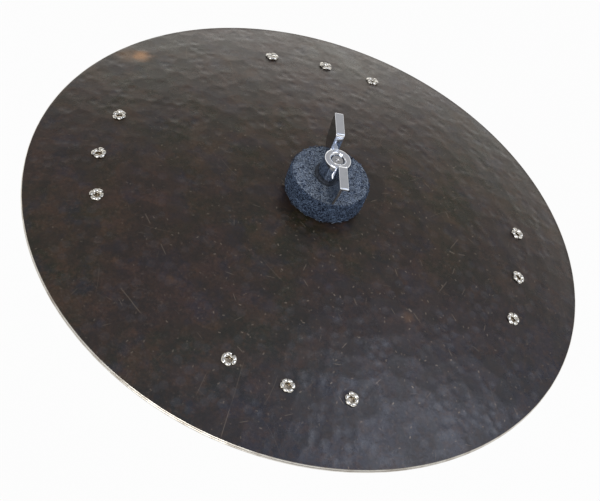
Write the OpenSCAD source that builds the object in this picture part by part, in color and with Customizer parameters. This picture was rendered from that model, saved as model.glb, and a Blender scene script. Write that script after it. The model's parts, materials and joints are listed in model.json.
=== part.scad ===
// Effect cymbal: two domed plates riveted loosely together, held between felts on a threaded stud.
// The origin is at the mouth of the stand socket, on the axis of the stud, with +Z up.

/* [Plates] */
// Outer diameter of both plates
plate_d = 254; // [220:1:360]
// Height of the top plate's dome above its rim
dome_rise = 20; // [10:0.5:36]
// Thickness of each plate
plate_t = 0.8; // [0.6:0.1:1.4]
// Gap between the two plates at rest
plate_gap = 0.3; // [0.2:0.05:0.6]
// Room all round between the sleeve and the plates' centre hole
plate_hole_room = 1.5; // [1:0.1:2.5]

/* [Rivets] */
// Distance from the rim to the circle of rivets
rivet_inset = 30; // [16:1:50]
// Distance between neighbouring rivets of a group, along their circle
rivet_spacing = 26; // [14:1:40]
// Outside diameter of the rivet's tube
rivet_tube_d = 4.4; // [3.4:0.1:6]
// Wall of the rivet's tube
rivet_wall = 0.9; // [0.4:0.05:1.2]
// Depth of the rivet's blind bore below the top plate's upper face
rivet_bore_depth = 1.2; // [0.8:0.1:1.8]
// Room all round between the tube and its holes
rivet_hole_room = 0.4; // [0.3:0.05:0.8]
// How far the flared petals lap over the edge of the hole
petal_lap = 0.8; // [0.5:0.1:1.5]
// Height of the petals above the plate
petal_h = 1.1; // [0.7:0.1:1.8]
// Thickness of the petals at their tips
petal_tip_t = 0.35; // [0.2:0.05:0.6]
// Number of petals on a rivet
petal_count = 6; // [4:1:8]
// Width of the slits between the petals
petal_slit = 0.5; // [0.3:0.05:0.8]
// How far the lower head laps over the edge of the hole
head_lap = 1.2; // [0.6:0.1:2]
// Thickness of the lower head
head_t = 1; // [0.7:0.1:1.6]
// Play that lets a rivet rattle in the plates
rivet_play = 1.2; // [0.9:0.1:2]

/* [Felts] */
// Diameter of the upper felt
upper_felt_d = 35.5; // [28:0.5:50]
// Thickness of the upper felt on the axis
upper_felt_t = 11.5; // [7:0.5:18]
// Diameter of the lower felt
lower_felt_d = 30; // [24:0.5:44]
// Thickness of the lower felt on the axis
lower_felt_t = 9; // [7:0.5:15]
// Rounding of the upper felt's top edge
felt_edge_r = 1.2; // [0.5:0.1:2.5]
// Rounding of the upper felt's lower edge
felt_foot_r = 4; // [0.5:0.1:4.5]
// Gap between a felt and the plate that it carries or presses
felt_room = 0.2; // [0.1:0.05:0.4]
// Room all round between the sleeve and the felts
felt_bore_room = 0.3; // [0.2:0.05:0.6]

/* [Stud] */
// Diameter of the threaded stud
stud_d = 6; // [5:0.5:8]
// Depth of the stud's seat in the coupling
stud_seat = 10; // [6:1:16]
// How far the stud's end lies below the top of the nut's boss
stud_short = 1; // [0.5:0.1:2]
// Chamfer on the end of the stud
stud_chamfer = 0.6; // [0.3:0.1:1]
// Wall of the sleeve over the stud
sleeve_wall = 1.4; // [1:0.1:2]
// How far the sleeve ends below the top of the upper felt
sleeve_short = 1.5; // [1:0.1:3]

/* [Coupling] */
// Diameter of the socket for a stand's own stud
socket_d = 8.1; // [6:0.1:10]
// Depth of the socket
socket_depth = 18; // [12:1:26]
// Web between the socket and the stud's seat
web_t = 2; // [1:0.5:4]
// Diameter of the coupling's round collar
collar_d = 16; // [14:0.5:22]
// Width across the flats of the coupling's hexagon
hex_flats = 14; // [13:0.5:19]
// Height of the hexagon
hex_h = 11; // [6:1:16]
// Chamfer on the collar's top edge
collar_chamfer = 0.8; // [0.3:0.1:1.5]
// Thickness of the cup washer's floor
cup_t = 1.5; // [1:0.1:2.5]
// Height of the cup washer's lip above its floor
cup_lip_h = 2; // [1:0.1:3]
// Thickness of the cup washer's lip
cup_lip_t = 1; // [0.8:0.1:2]

/* [Wing nut] */
// Diameter of the boss at its foot
boss_foot_d = 12.4; // [12:0.1:18]
// Diameter of the boss at its top
boss_top_d = 11.6; // [9.6:0.1:14]
// Height of the boss
boss_h = 9.4; // [7:0.1:14]
// Span over the tips of the wings at their tops
wing_span = 45; // [36:0.5:60]
// Span over the wings at their feet
wing_foot_span = 39; // [26:0.5:50]
// Clear width between the wings
wing_clear = 18; // [16:0.5:24]
// Height of the wings above the foot of the boss
wing_h = 14.5; // [12:0.5:20]
// Height of the shoulder, below which the wings draw in to their feet
wing_shoulder_h = 10; // [2:0.5:10]
// Height of the valley between the boss and each wing
wing_valley_h = 5; // [2:0.5:7]
// Width of the flange along the top and the inner edge of each wing
wing_t = 3.8; // [2.5:0.1:5]
// Thickness of the wings' webs
wing_web_t = 1.2; // [0.8:0.1:2]
// Thickness of the wings' flanges
wing_flange_t = 1.3; // [0.8:0.1:1.8]
// Rounding of the wings' corners
wing_corner_r = 1.4; // [0.5:0.1:2]
// Rounding of the wings' shoulders
wing_shoulder_r = 6; // [2:0.5:10]
// Gap between the wings' feet and the felt
wing_felt_room = 0.5; // [0.3:0.1:1]
// Turn of the wings about the stud at rest, from the Y axis
wing_turn = 8; // [-90:1:90]
// Diameter of the captive washer under the boss
nut_washer_d = 14.6; // [12:0.1:18]
// Thickness of the captive washer
nut_washer_t = 1.2; // [0.8:0.1:2]

/* [Fits] */
// Gap at the flat seats of loose pieces
seat_room = 0.05; // [0.02:0.01:0.1]
// Room all round in the running fits on the stud
running_room = 0.05; // [0.02:0.01:0.1]
// Room all round where washers and sleeve pass over the stud
loose_room = 0.2; // [0.1:0.05:0.4]

/* [Hidden] */
// Segments of a full turn on small, middle and large round shapes
small_fn = 48;
round_fn = 96;
plate_fn = 360;
dome_fn = 1440;
// Overshoot of a cut past the face that it opens
cut = 1;
// Segments in a rounded corner of the wings
corner_steps = 5;

// Radii
plate_r = plate_d / 2;
stud_r = stud_d / 2;
sleeve_bore_r = stud_r + loose_room;
sleeve_r = sleeve_bore_r + sleeve_wall;
felt_bore_r = sleeve_r + felt_bore_room;
plate_hole_r = sleeve_r + plate_hole_room;
upper_felt_r = upper_felt_d / 2;
lower_felt_r = lower_felt_d / 2;
cup_bowl_r = lower_felt_r + felt_bore_room;
cup_r = cup_bowl_r + cup_lip_t;
rivet_tube_r = rivet_tube_d / 2;
rivet_bore_r = rivet_tube_r - rivet_wall;
rivet_hole_r = rivet_tube_r + rivet_hole_room;
petal_r = rivet_hole_r + petal_lap;
head_r = rivet_hole_r + head_lap;

// Spherical dome: radius of the top plate's upper face, and the depths of the faces under it
dome_r = (plate_r * plate_r + dome_rise * dome_rise) / (2 * dome_rise);
lower_face = plate_t + plate_gap;
underside = lower_face + plate_t;

// Heights up the stud
coupling_h = socket_depth + web_t + stud_seat;
cup_floor_z = coupling_h + cup_t;
apex_z = cup_floor_z + seat_room + lower_felt_t + felt_room + underside;
dome_centre_z = apex_z - dome_r;
felt_top_z = apex_z + felt_room + upper_felt_t;
nut_washer_z = felt_top_z + seat_room;
nut_z = nut_washer_z + nut_washer_t + seat_room;
boss_top_z = nut_z + boss_h;
stud_top_z = boss_top_z - stud_short;
stud_foot_z = socket_depth + web_t;
sleeve_top_z = felt_top_z - sleeve_short;

// Rivet circle: middle angle of each hand-marked group, and the angle between neighbours
rivet_circle_r = plate_r - rivet_inset;
group_angles = [-4, 93, 181, 269];
rivet_step = rivet_spacing / rivet_circle_r * 180 / PI;
// Each rivet's own turn in degrees, and its reach outwards in millimetres, off its even place
rivet_marks = [[0.9, 1.2], [0.2, -1.4], [1, 0.2], [0.9, 1.7], [-0.4, 0.3], [0, 1],
               [-0.1, -0.8], [0.1, 0.3], [-0.8, -0.1], [0.4, -0.5], [0, 0.9], [0.1, 2.2]];
rivet_angles = [for (group = [0:3]) for (k = [0:2])
    group_angles[group] + (k - 1) * rivet_step + rivet_marks[3 * group + k][0]];
rivet_leans = [for (mark = rivet_marks) asin((rivet_circle_r + mark[1]) / dome_r)];
rivet_names = [for (i = [1:len(rivet_angles)]) str("rivet_", i < 10 ? "0" : "", i)];
// Each rivet is set at its own turn
rivet_turn_step = 37;

// Heights on a rivet, from the upper face of the top plate
petal_z = seat_room * 2;
head_top_z = -underside - rivet_play;
head_foot_z = head_top_z - head_t;
head_round = head_t / 2;
petal_crown_r = (rivet_tube_r + petal_r) / 2;

// Wing outline, from the axis and from the foot of the boss
wing_root_r = (stud_r + boss_top_d / 2) / 2;
wing_notch_r = max(boss_foot_d, nut_washer_d) / 2 + wing_felt_room;
wing_foot_z = wing_felt_room - nut_washer_t - 2 * seat_room;

function unit(v) = v / norm(v);

// Points of a corner rounded with radius r, between the points before and after it
function round_corner(before, corner, after, r) =
    let (u = unit(before - corner),
         v = unit(after - corner),
         half = acos(u * v) / 2,
         centre = corner + unit(u + v) * r / sin(half),
         first = corner + u * r / tan(half) - centre,
         last = corner + v * r / tan(half) - centre)
    [for (i = [0:corner_steps]) centre + r * unit(first + (last - first) * i / corner_steps)];

// Ring with its foot at z = 0
module ring(outer_r, inner_r, h, fn = round_fn) {
    difference() {
        cylinder(r = outer_r, h = h, $fn = fn);
        translate([0, 0, -cut]) cylinder(r = inner_r, h = h + 2 * cut, $fn = fn);
    }
}

// Ball about the centre of the dome, reaching the given depth under the top plate's upper face
module dome_ball(depth) {
    translate([0, 0, dome_centre_z])
        rotate_extrude($fn = plate_fn)
            intersection() {
                circle(r = dome_r - depth, $fn = dome_fn);
                translate([0, dome_r - dome_rise * 2]) square([plate_r, dome_rise * 3]);
            }
}

// Places a rivet: its Z axis is square to the plate, with z = 0 on the upper face
module at_rivet(i) {
    translate([0, 0, dome_centre_z])
        rotate([0, rivet_leans[i], rivet_angles[i]])
            translate([0, 0, dome_r])
                rotate([0, 0, rivet_turn_step * i])
                    children();
}

module rivet_holes() {
    for (i = [0:len(rivet_angles) - 1])
        at_rivet(i)
            translate([0, 0, -underside - cut])
                cylinder(r = rivet_hole_r, h = underside + 2 * cut, $fn = small_fn);
}

// Domed plate whose upper face lies at the given depth
module plate(depth) {
    difference() {
        translate([0, 0, dome_centre_z])
            rotate_extrude($fn = plate_fn)
                intersection() {
                    difference() {
                        circle(r = dome_r - depth, $fn = dome_fn);
                        circle(r = dome_r - depth - plate_t, $fn = dome_fn);
                    }
                    translate([plate_hole_r, dome_r - dome_rise * 2])
                        square([plate_r - plate_hole_r, dome_rise * 3]);
                }
        rivet_holes();
    }
}

module top_plate() {
    color([0.16, 0.14, 0.13]) plate(0);
}

module bottom_plate() {
    color([0.2, 0.17, 0.15]) plate(lower_face);
}

// Rivet with a closed lower head and a blind bore, its upper end slit and flared into petals
module rivet(i) {
    color([0.8, 0.79, 0.76])
        at_rivet(i)
            difference() {
                rotate_extrude($fn = small_fn)
                    polygon([
                        [0, head_foot_z],
                        [head_r - head_round, head_foot_z],
                        [head_r, head_foot_z + head_round],
                        [head_r, head_top_z],
                        [rivet_tube_r, head_top_z],
                        [rivet_tube_r, petal_z],
                        [petal_r, petal_z],
                        [petal_r, petal_z + petal_tip_t],
                        [petal_crown_r, petal_z + petal_h],
                        [rivet_tube_r, petal_z + petal_h],
                        [rivet_bore_r, petal_z],
                        [rivet_bore_r, -rivet_bore_depth],
                        [0, -rivet_bore_depth],
                    ]);
                for (k = [0:petal_count - 1])
                    rotate([0, 0, k * 360 / petal_count])
                        translate([0, -petal_slit / 2, petal_z - petal_tip_t])
                            cube([petal_r + cut, petal_slit, petal_h + petal_tip_t + cut]);
            }
}

module upper_felt() {
    color([0.2, 0.22, 0.27])
        difference() {
            rotate_extrude($fn = round_fn)
                difference() {
                    translate([felt_bore_r, apex_z - dome_rise])
                        square([upper_felt_r - felt_bore_r, felt_top_z - apex_z + dome_rise]);
                    translate([upper_felt_r - felt_edge_r, felt_top_z - felt_edge_r])
                        difference() {
                            square(felt_edge_r + cut);
                            circle(r = felt_edge_r, $fn = small_fn);
                        }
                    translate([upper_felt_r - felt_foot_r, apex_z + felt_foot_r])
                        difference() {
                            translate([0, -felt_foot_r - dome_rise - cut])
                                square([felt_foot_r + cut, felt_foot_r + dome_rise + cut]);
                            circle(r = felt_foot_r, $fn = small_fn);
                        }
                }
            dome_ball(-felt_room);
        }
}

module lower_felt() {
    color([0.2, 0.22, 0.27])
        intersection() {
            translate([0, 0, cup_floor_z + seat_room])
                ring(lower_felt_r, felt_bore_r, lower_felt_t + underside);
            dome_ball(underside + felt_room);
        }
}

module sleeve() {
    color([0.9, 0.9, 0.88])
        translate([0, 0, cup_floor_z])
            ring(sleeve_r, sleeve_bore_r, sleeve_top_z - cup_floor_z);
}

module cup_washer() {
    cup_hole_r = stud_r + loose_room;
    color([0.75, 0.76, 0.78])
        translate([0, 0, coupling_h])
            rotate_extrude($fn = round_fn)
                polygon([
                    [cup_hole_r, 0],
                    [cup_r, 0],
                    [cup_r, cup_t + cup_lip_h],
                    [cup_bowl_r, cup_t + cup_lip_h],
                    [cup_bowl_r, cup_t],
                    [cup_hole_r, cup_t],
                ]);
}

module stud_rod() {
    shank_h = stud_top_z - stud_foot_z - stud_chamfer;
    color([0.7, 0.71, 0.73])
        translate([0, 0, stud_foot_z])
            rotate_extrude($fn = round_fn)
                polygon([
                    [0, 0],
                    [stud_r, 0],
                    [stud_r, shank_h],
                    [stud_r - stud_chamfer, shank_h + stud_chamfer],
                    [0, shank_h + stud_chamfer],
                ]);
}

// Coupling with a hexagon for a spanner, a round collar, a socket below and the stud's seat above
module stud_base() {
    collar_r = collar_d / 2;
    color([0.72, 0.73, 0.75])
        difference() {
            union() {
                cylinder(r = hex_flats / 2 / cos(30), h = hex_h, $fn = 6);
                rotate_extrude($fn = round_fn)
                    polygon([
                        [0, hex_h],
                        [collar_r, hex_h],
                        [collar_r, coupling_h - collar_chamfer],
                        [collar_r - collar_chamfer, coupling_h],
                        [0, coupling_h],
                    ]);
            }
            translate([0, 0, -cut])
                cylinder(d = socket_d, h = socket_depth + cut, $fn = round_fn);
            translate([0, 0, stud_foot_z])
                cylinder(r = stud_r + running_room, h = stud_seat + cut, $fn = round_fn);
        }
}

module nut_washer() {
    color([0.25, 0.25, 0.27])
        translate([0, 0, nut_washer_z])
            ring(nut_washer_d / 2, stud_r + loose_room, nut_washer_t);
}

// One wing, drawn outwards from the axis and upwards from the foot of the boss
module wing_outline() {
    notch = [wing_notch_r, wing_foot_z];
    foot_tip = [wing_foot_span / 2, wing_foot_z];
    shoulder = [wing_span / 2, wing_shoulder_h];
    top_tip = [wing_span / 2, wing_h];
    top_inner = [wing_clear / 2, wing_h];
    valley = [wing_clear / 2, wing_valley_h];
    root = [wing_root_r, wing_valley_h];
    polygon(concat(
        [[wing_root_r, 0], [wing_notch_r, 0], notch],
        round_corner(notch, foot_tip, shoulder, wing_corner_r),
        round_corner(foot_tip, shoulder, top_tip, wing_shoulder_r),
        round_corner(shoulder, top_tip, top_inner, wing_corner_r),
        round_corner(top_tip, top_inner, valley, wing_corner_r),
        round_corner(top_inner, valley, root, wing_corner_r),
        [root]
    ));
}

// Open side of a wing, under the flange along its top and down its inner edge
module wing_pocket() {
    translate([0, wing_foot_z - cut])
        square([wing_span, wing_valley_h - wing_flange_t - wing_foot_z + cut]);
    translate([wing_clear / 2 + wing_flange_t, wing_foot_z - cut])
        square([wing_span, wing_h - wing_flange_t - wing_foot_z + cut]);
}

// Both wings, with their webs in one plane
module wings() {
    difference() {
        for (side = [0, 180])
            rotate([90, 0, side])
                linear_extrude(height = wing_t, center = true) wing_outline();
        for (side = [0, 1])
            mirror([side, 0, 0])
                translate([0, wing_t / 2 - wing_web_t, 0])
                    rotate([90, 0, 0])
                        linear_extrude(height = wing_t) wing_pocket();
    }
}

module wing_nut() {
    color([0.82, 0.83, 0.85])
        translate([0, 0, nut_z])
            rotate([0, 0, 90 + wing_turn])
                difference() {
                    union() {
                        cylinder(d1 = boss_foot_d, d2 = boss_top_d, h = boss_h, $fn = round_fn);
                        wings();
                    }
                    translate([0, 0, -cut])
                        cylinder(r = stud_r + running_room, h = boss_h + 2 * cut, $fn = round_fn);
                }
}

top_plate();
bottom_plate();
upper_felt();
lower_felt();
wing_nut();
nut_washer();
stud_rod();
stud_base();
sleeve();
cup_washer();
for (i = [0:len(rivet_names) - 1])
    rivet(i);
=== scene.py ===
"""Looks of an effect cymbal: hammered plates, split rivets, felts, wing nut and stud."""
import json
import math

import bmesh
import bpy
import numpy as np
from bpy.props import FloatProperty, FloatVectorProperty, IntProperty, PointerProperty
from bpy.types import Operator, Panel, PropertyGroup
from mathutils import Matrix, Vector, noise
from mathutils.geometry import delaunay_2d_cdt


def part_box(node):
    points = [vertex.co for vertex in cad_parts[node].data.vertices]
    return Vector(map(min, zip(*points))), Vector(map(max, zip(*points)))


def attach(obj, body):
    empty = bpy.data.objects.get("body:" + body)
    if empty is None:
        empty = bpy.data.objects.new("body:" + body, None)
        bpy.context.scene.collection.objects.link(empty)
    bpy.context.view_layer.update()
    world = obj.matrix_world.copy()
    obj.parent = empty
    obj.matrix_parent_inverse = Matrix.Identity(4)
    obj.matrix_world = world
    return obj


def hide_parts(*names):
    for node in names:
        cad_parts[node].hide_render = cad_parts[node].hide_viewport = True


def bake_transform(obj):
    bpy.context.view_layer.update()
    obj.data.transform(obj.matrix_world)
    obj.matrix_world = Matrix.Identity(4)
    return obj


bl_info = {
    "name": "Effect cymbal",
    "version": (1, 0, 0),
    "blender": (4, 5, 0),
    "location": "View3D > Sidebar > Cymbal",
    "description": "Dresses a riveted effect cymbal around its packed solids",
    "category": "Object",
}

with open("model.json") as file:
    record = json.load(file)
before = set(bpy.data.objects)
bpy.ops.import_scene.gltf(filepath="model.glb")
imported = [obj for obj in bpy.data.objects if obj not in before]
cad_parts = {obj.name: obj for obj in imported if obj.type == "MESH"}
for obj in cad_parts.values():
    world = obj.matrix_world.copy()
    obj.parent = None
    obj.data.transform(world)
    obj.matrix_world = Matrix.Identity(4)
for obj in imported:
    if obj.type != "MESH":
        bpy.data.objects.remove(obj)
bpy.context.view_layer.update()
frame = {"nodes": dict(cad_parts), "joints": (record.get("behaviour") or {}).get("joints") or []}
MM = 0.001

# Sizes shared with the solids, in metres
PLATE_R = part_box("top_plate")[1].x
DOME_RISE = 20 * MM
PLATE_T = 0.8 * MM
PLATE_GAP = 0.3 * MM
PLATE_HOLE_R = 6.1 * MM
RIVET_HOLE_R = 2.6 * MM
RIVET_TUBE_R = 2.2 * MM
RIVET_BORE_R = 1.3 * MM
RIVET_FLOOR = -1.2 * MM
RIVET_PLAY = 1.2 * MM
HEAD_R = 3.8 * MM
HEAD_T = 1.0 * MM
PETAL_R = 3.4 * MM
STUD_R = 3.0 * MM
WASHER_HOLE_R = 3.2 * MM
SLEEVE_R = 4.6 * MM
WING_TURN = math.radians(98)

DOME_R = (PLATE_R ** 2 + DOME_RISE ** 2) / (2 * DOME_RISE)
DOME_CENTRE_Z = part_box("top_plate")[0].z - math.sqrt((DOME_R - PLATE_T) ** 2 - PLATE_R ** 2)
APEX_Z = DOME_CENTRE_Z + DOME_R
RIM_Z = APEX_Z - DOME_RISE
LOWER_FACE = PLATE_T + PLATE_GAP
UNDERSIDE = LOWER_FACE + PLATE_T
RIVET_AXES = {
    joint["child"]: Vector(joint["axis"]).normalized()
    for joint in frame["joints"]
    if joint["child"].startswith("rivet_")
}

# View of the photograph, with the camera placed from the centre of the rim
VIEW_W = 600
VIEW_FOCAL = 1460.6
VIEW_DISTANCE = 648.1 * MM
VIEW_TURN = math.radians(-11.53)
VIEW_HEIGHT = math.radians(44.862)
VIEW_ROLL = math.radians(23.808)
VIEW_PAN = math.radians(-0.080)
VIEW_TILT = math.radians(1.124)
SENSOR_W = 36


class CymbalSizes(PropertyGroup):
    """Sizes of the details that the solids leave out."""

    face_step: FloatProperty(
        name="Face step", description="Spacing of the points on a hammered face",
        default=0.86 * MM, unit="LENGTH")
    mark_size: FloatProperty(
        name="Mark size", description="Distance between hammer marks",
        default=5.2 * MM, unit="LENGTH")
    mark_depth: FloatProperty(
        name="Mark depth", description="Depth of a hammer mark",
        default=0.2 * MM, unit="LENGTH")
    wave_size: FloatProperty(
        name="Wave size", description="Length of the slow waves in a plate",
        default=46 * MM, unit="LENGTH")
    wave_depth: FloatProperty(
        name="Wave depth", description="Depth of the slow waves in a plate",
        default=0.3 * MM, unit="LENGTH")
    edge_round: FloatProperty(
        name="Edge rounding", description="Rounding of a plate's cut edge",
        default=0.2 * MM, unit="LENGTH")
    petal_count: IntProperty(
        name="Petals", description="Petals on a rivet", default=6, min=4, max=8)
    petal_t: FloatProperty(
        name="Petal thickness", description="Thickness of a rivet's petal",
        default=0.42 * MM, unit="LENGTH")
    petal_w: FloatProperty(
        name="Petal width", description="Width of a rivet's petal at its crown",
        default=2.35 * MM, unit="LENGTH")
    fibre_length: FloatProperty(
        name="Fibre length", description="Length of a loose fibre on the felts",
        default=3.4 * MM, unit="LENGTH")
    fibre_r: FloatProperty(
        name="Fibre radius", description="Radius of a loose fibre on the felts",
        default=0.16 * MM, unit="LENGTH")
    fibre_density: FloatProperty(
        name="Fibre density", description="Loose fibres on a square metre of felt", default=7e5)
    nut_round: FloatProperty(
        name="Nut rounding", description="Rounding of the wing nut's edges",
        default=0.45 * MM, unit="LENGTH")
    thread_pitch: FloatProperty(
        name="Thread pitch", description="Pitch of the stud's thread",
        default=1.0 * MM, unit="LENGTH")
    knurl_count: IntProperty(
        name="Knurl ribs", description="Ribs round the coupling's collar", default=44)


def colour(name, description, value):
    """A colour property."""
    return FloatVectorProperty(
        name=name, description=description, subtype="COLOR", size=3, min=0, max=1, default=value)


class CymbalColours(PropertyGroup):
    """Colours of the finishes."""

    umber: colour("Umber", "Brown of the patina", (0.062, 0.030, 0.016))
    olive: colour("Olive", "Olive black of the patina", (0.021, 0.0195, 0.0095))
    plum: colour("Plum", "Purple brown of the patina", (0.032, 0.0155, 0.018))
    # Slate colours random blue-grey patches of the patina, and also a painted blue-grey sheen, which is a
    # painted reflection
    slate_and_sheen: colour("Slate", "Blue grey of the patina and of its painted sheen", (0.0125, 0.0165, 0.034))
    pore_dark: colour("Dark pore", "Darkest pores of the patina", (0.007, 0.006, 0.005))
    pore_pale: colour("Pale pore", "Palest grains of the patina", (0.075, 0.062, 0.052))
    # Painted highlight: pale spots on the small hammer marks
    mark_dark: colour("Dark mark", "Darkened hammer marks", (0.009, 0.0075, 0.006))
    mark_highlight: colour("Mark highlight", "Painted highlight on small hammer marks", (0.07, 0.075, 0.09))
    copper: colour("Copper", "Worn spots in the patina", (0.42, 0.22, 0.10))
    scratch: colour("Scratch", "Metal laid bare by a scratch", (0.30, 0.25, 0.20))
    bare_bronze: colour("Bare bronze", "Cut edge of the plates", (0.74, 0.715, 0.66))
    worn_bronze: colour("Worn bronze", "Duller stretches of the cut edge", (0.42, 0.38, 0.33))
    felt: colour("Felt", "Main colour of the felt", (0.046, 0.068, 0.115))
    felt_dark: colour("Felt dark", "Dark wool in the felt", (0.007, 0.011, 0.022))
    felt_light: colour("Felt light", "Pale wool in the felt", (0.38, 0.45, 0.55))
    # Painted shade: the felt's side gets these darker, bluer colours in place of the top's
    felt_side_shade: colour("Felt rim", "Painted shade on the felt's side", (0.0035, 0.008, 0.022))
    felt_side_pale_shade: colour("Felt rim light", "Pale wool on the felt's side, in painted shade", (0.21, 0.30, 0.47))
    chrome: colour("Chrome", "Chrome of the wing nut", (0.87, 0.905, 0.97))
    chrome_smudge: colour("Chrome smudge", "Handled chrome", (0.75, 0.79, 0.85))
    # Painted shade on the wing nut's upright sides
    chrome_painted_shade: colour("Chrome painted shade", "Upright sides of the wing nut", (0.39, 0.42, 0.47))
    nickel: colour("Nickel", "Plating of the rivets", (0.80, 0.785, 0.74))
    nickel_smudge: colour("Nickel smudge", "Handled nickel", (0.55, 0.53, 0.47))
    # Painted shade inside a rivet's bore
    nickel_painted_shade: colour("Nickel painted shade", "Inside of a rivet's bore", (0.34, 0.29, 0.22))
    steel: colour("Steel", "Plating of the stud and the coupling", (0.62, 0.63, 0.65))
    steel_smudge: colour("Steel smudge", "Handled steel", (0.47, 0.48, 0.5))
    # Painted shade at the bottom of the stud's dimple
    steel_painted_shade: colour("Steel painted shade", "Bottom of the dimple in the stud's end", (0.2, 0.2, 0.21))
    black_steel: colour("Black steel", "Captive washer", (0.050, 0.060, 0.080))
    black_steel_dark: colour("Black steel dark", "Dark grain of the captive washer", (0.014, 0.017, 0.024))
    nylon: colour("Nylon", "Sleeve on the stud", (0.76, 0.75, 0.70))
    nylon_flow: colour("Nylon flow", "Faint flow marks in the sleeve", (0.66, 0.64, 0.58))
    floor: colour("Floor", "Pale floor of the studio", (0.93, 0.93, 0.93))


class Wire:
    """A node's output that can be used in Python expressions."""

    def __init__(self, tree, socket):
        self.tree = tree
        self.socket = socket

    def node(self, kind, settings=None, feeds=None, out=0):
        """Adds a node, sets it up, feeds its sockets and gives one of its outputs."""
        made = self.tree.nodes.new(kind)
        for key, value in (settings or {}).items():
            if key == "stops":
                set_stops(made.color_ramp, value)
            else:
                setattr(made, key, value)
        for key, value in (feeds or {}).items():
            if isinstance(value, Wire):
                self.tree.links.new(value.socket, made.inputs[key])
            else:
                made.inputs[key].default_value = value
        return Wire(self.tree, made.outputs[out])

    def maths(self, operation, *others):
        """A sum, product or other operation on this value and others."""
        return self.node("ShaderNodeMath", {"operation": operation},
                         dict(enumerate((self, *others))))

    def swapped(self, operation, other):
        """An operation with this value as the second."""
        return self.node("ShaderNodeMath", {"operation": operation}, {0: other, 1: self})

    def __add__(self, other):
        return self.maths("ADD", other)

    def __sub__(self, other):
        return self.maths("SUBTRACT", other)

    def __mul__(self, other):
        return self.maths("MULTIPLY", other)

    def __truediv__(self, other):
        return self.maths("DIVIDE", other)

    def __rsub__(self, other):
        return self.swapped("SUBTRACT", other)

    def __rtruediv__(self, other):
        return self.swapped("DIVIDE", other)

    __radd__ = __add__
    __rmul__ = __mul__

    def scaled(self, factor):
        """A vector times a number."""
        return self.node("ShaderNodeVectorMath", {"operation": "SCALE"},
                         {0: self, "Scale": factor})

    def minus(self, other):
        """A vector less another."""
        return self.node("ShaderNodeVectorMath", {"operation": "SUBTRACT"}, {0: self, 1: other})

    def part(self, axis):
        """One part of a vector or colour."""
        return self.node("ShaderNodeSeparateXYZ", None, {0: self}, "XYZ".index(axis))

    def step(self, low, high):
        """0 below low and 1 above high, with a smooth rise between them."""
        return self.node("ShaderNodeMapRange", {"interpolation_type": "SMOOTHSTEP"},
                         {"Value": self, "From Min": low, "From Max": high})

    def mixed(self, first, second):
        """A colour that goes from the first to the second as this value goes from 0 to 1."""
        return self.node("ShaderNodeMix", {"data_type": "RGBA"},
                         {0: self, 6: tint(first), 7: tint(second)}, 2)

    def random(self, low, high, seed):
        """A random number between two values, drawn for each point."""
        return self.node("FunctionNodeRandomValue", {"data_type": "FLOAT"},
                         {2: low, 3: high, 8: seed}, 1)

    def noise(self, size, detail=2.0, roughness=0.55):
        """Cloudy noise at this place, with blots of the given size."""
        return self.node("ShaderNodeTexNoise", None,
                         {"Vector": self, "Scale": 1 / size, "Detail": detail,
                          "Roughness": roughness})


def tint(value):
    """A colour with its alpha, or a wire as it is."""
    return value if isinstance(value, Wire) else (*value, 1.0)


def set_stops(ramp, stops):
    """Stops of a colour ramp, as pairs of a place and a colour."""
    while len(ramp.elements) < len(stops):
        ramp.elements.new(1.0)
    for element, (place, shade) in zip(ramp.elements, stops):
        element.position = place
        element.color = tint(shade)


class Finish:
    """A material with one shader, and the place on the surface in millimetres."""

    def __init__(self, name, constants=None):
        self.material = bpy.data.materials.new(name)
        self.material.use_nodes = True
        tree = self.material.node_tree
        self.shader = tree.nodes["Principled BSDF"]
        coordinates = tree.nodes.new("ShaderNodeTexCoord")
        self.place = Wire(tree, coordinates.outputs["Object"]).scaled(1 / MM)
        for socket, value in (constants or {}).items():
            self.shader.inputs[socket].default_value = value

    def feed(self, socket, wire):
        """Joins a wire to one of the shader's sockets."""
        wire.tree.links.new(wire.socket, self.shader.inputs[socket])

    def bump(self, height, distance, strength=1.0):
        """Relief of the given height field, in millimetres."""
        self.feed("Normal", height.node("ShaderNodeBump", None, {
            "Height": height, "Distance": distance * MM, "Strength": strength}))


# Finishes

def scratches(place, cell, length, width, share, bend=0.0):
    """Short straight marks, at most one in each random cell, as a mask."""
    spot = place.scaled(1 / cell)
    settings = {"voronoi_dimensions": "2D", "feature": "F1"}
    feeds = {"Vector": spot, "Scale": 1.0, "Randomness": 1.0}
    centre = spot.node("ShaderNodeTexVoronoi", settings, feeds, "Position")
    chance = spot.node("ShaderNodeTexVoronoi", settings, feeds, "Color")
    offset = spot.minus(centre)
    angle = chance.part("X") * math.tau
    cosine = angle.maths("COSINE")
    sine = angle.maths("SINE")
    along = offset.part("X") * cosine + offset.part("Y") * sine
    across = offset.part("Y") * cosine - offset.part("X") * sine + along * along * bend
    reach = length / cell / 2
    line = 1 - across.maths("ABSOLUTE").step(width / cell * 0.2, width / cell)
    ends = 1 - along.maths("ABSOLUTE").step(reach * 0.4, reach)
    kept = chance.part("Y").maths("LESS_THAN", share)
    return line * ends * kept * chance.part("Z")


def distance(place, centre):
    """Distance across the plate from a point, in millimetres."""
    x = place.part("X") - centre[0]
    y = place.part("Y") - centre[1]
    return (x * x + y * y).maths("SQRT")


def blotch(place, centre, reach, ragged):
    """A soft patch round a point, with edges as ragged as the given size of noise."""
    away = distance(place, centre) + (place.noise(ragged, 4) - 0.5) * reach
    return 1 - away.step(0.0, reach)


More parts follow.
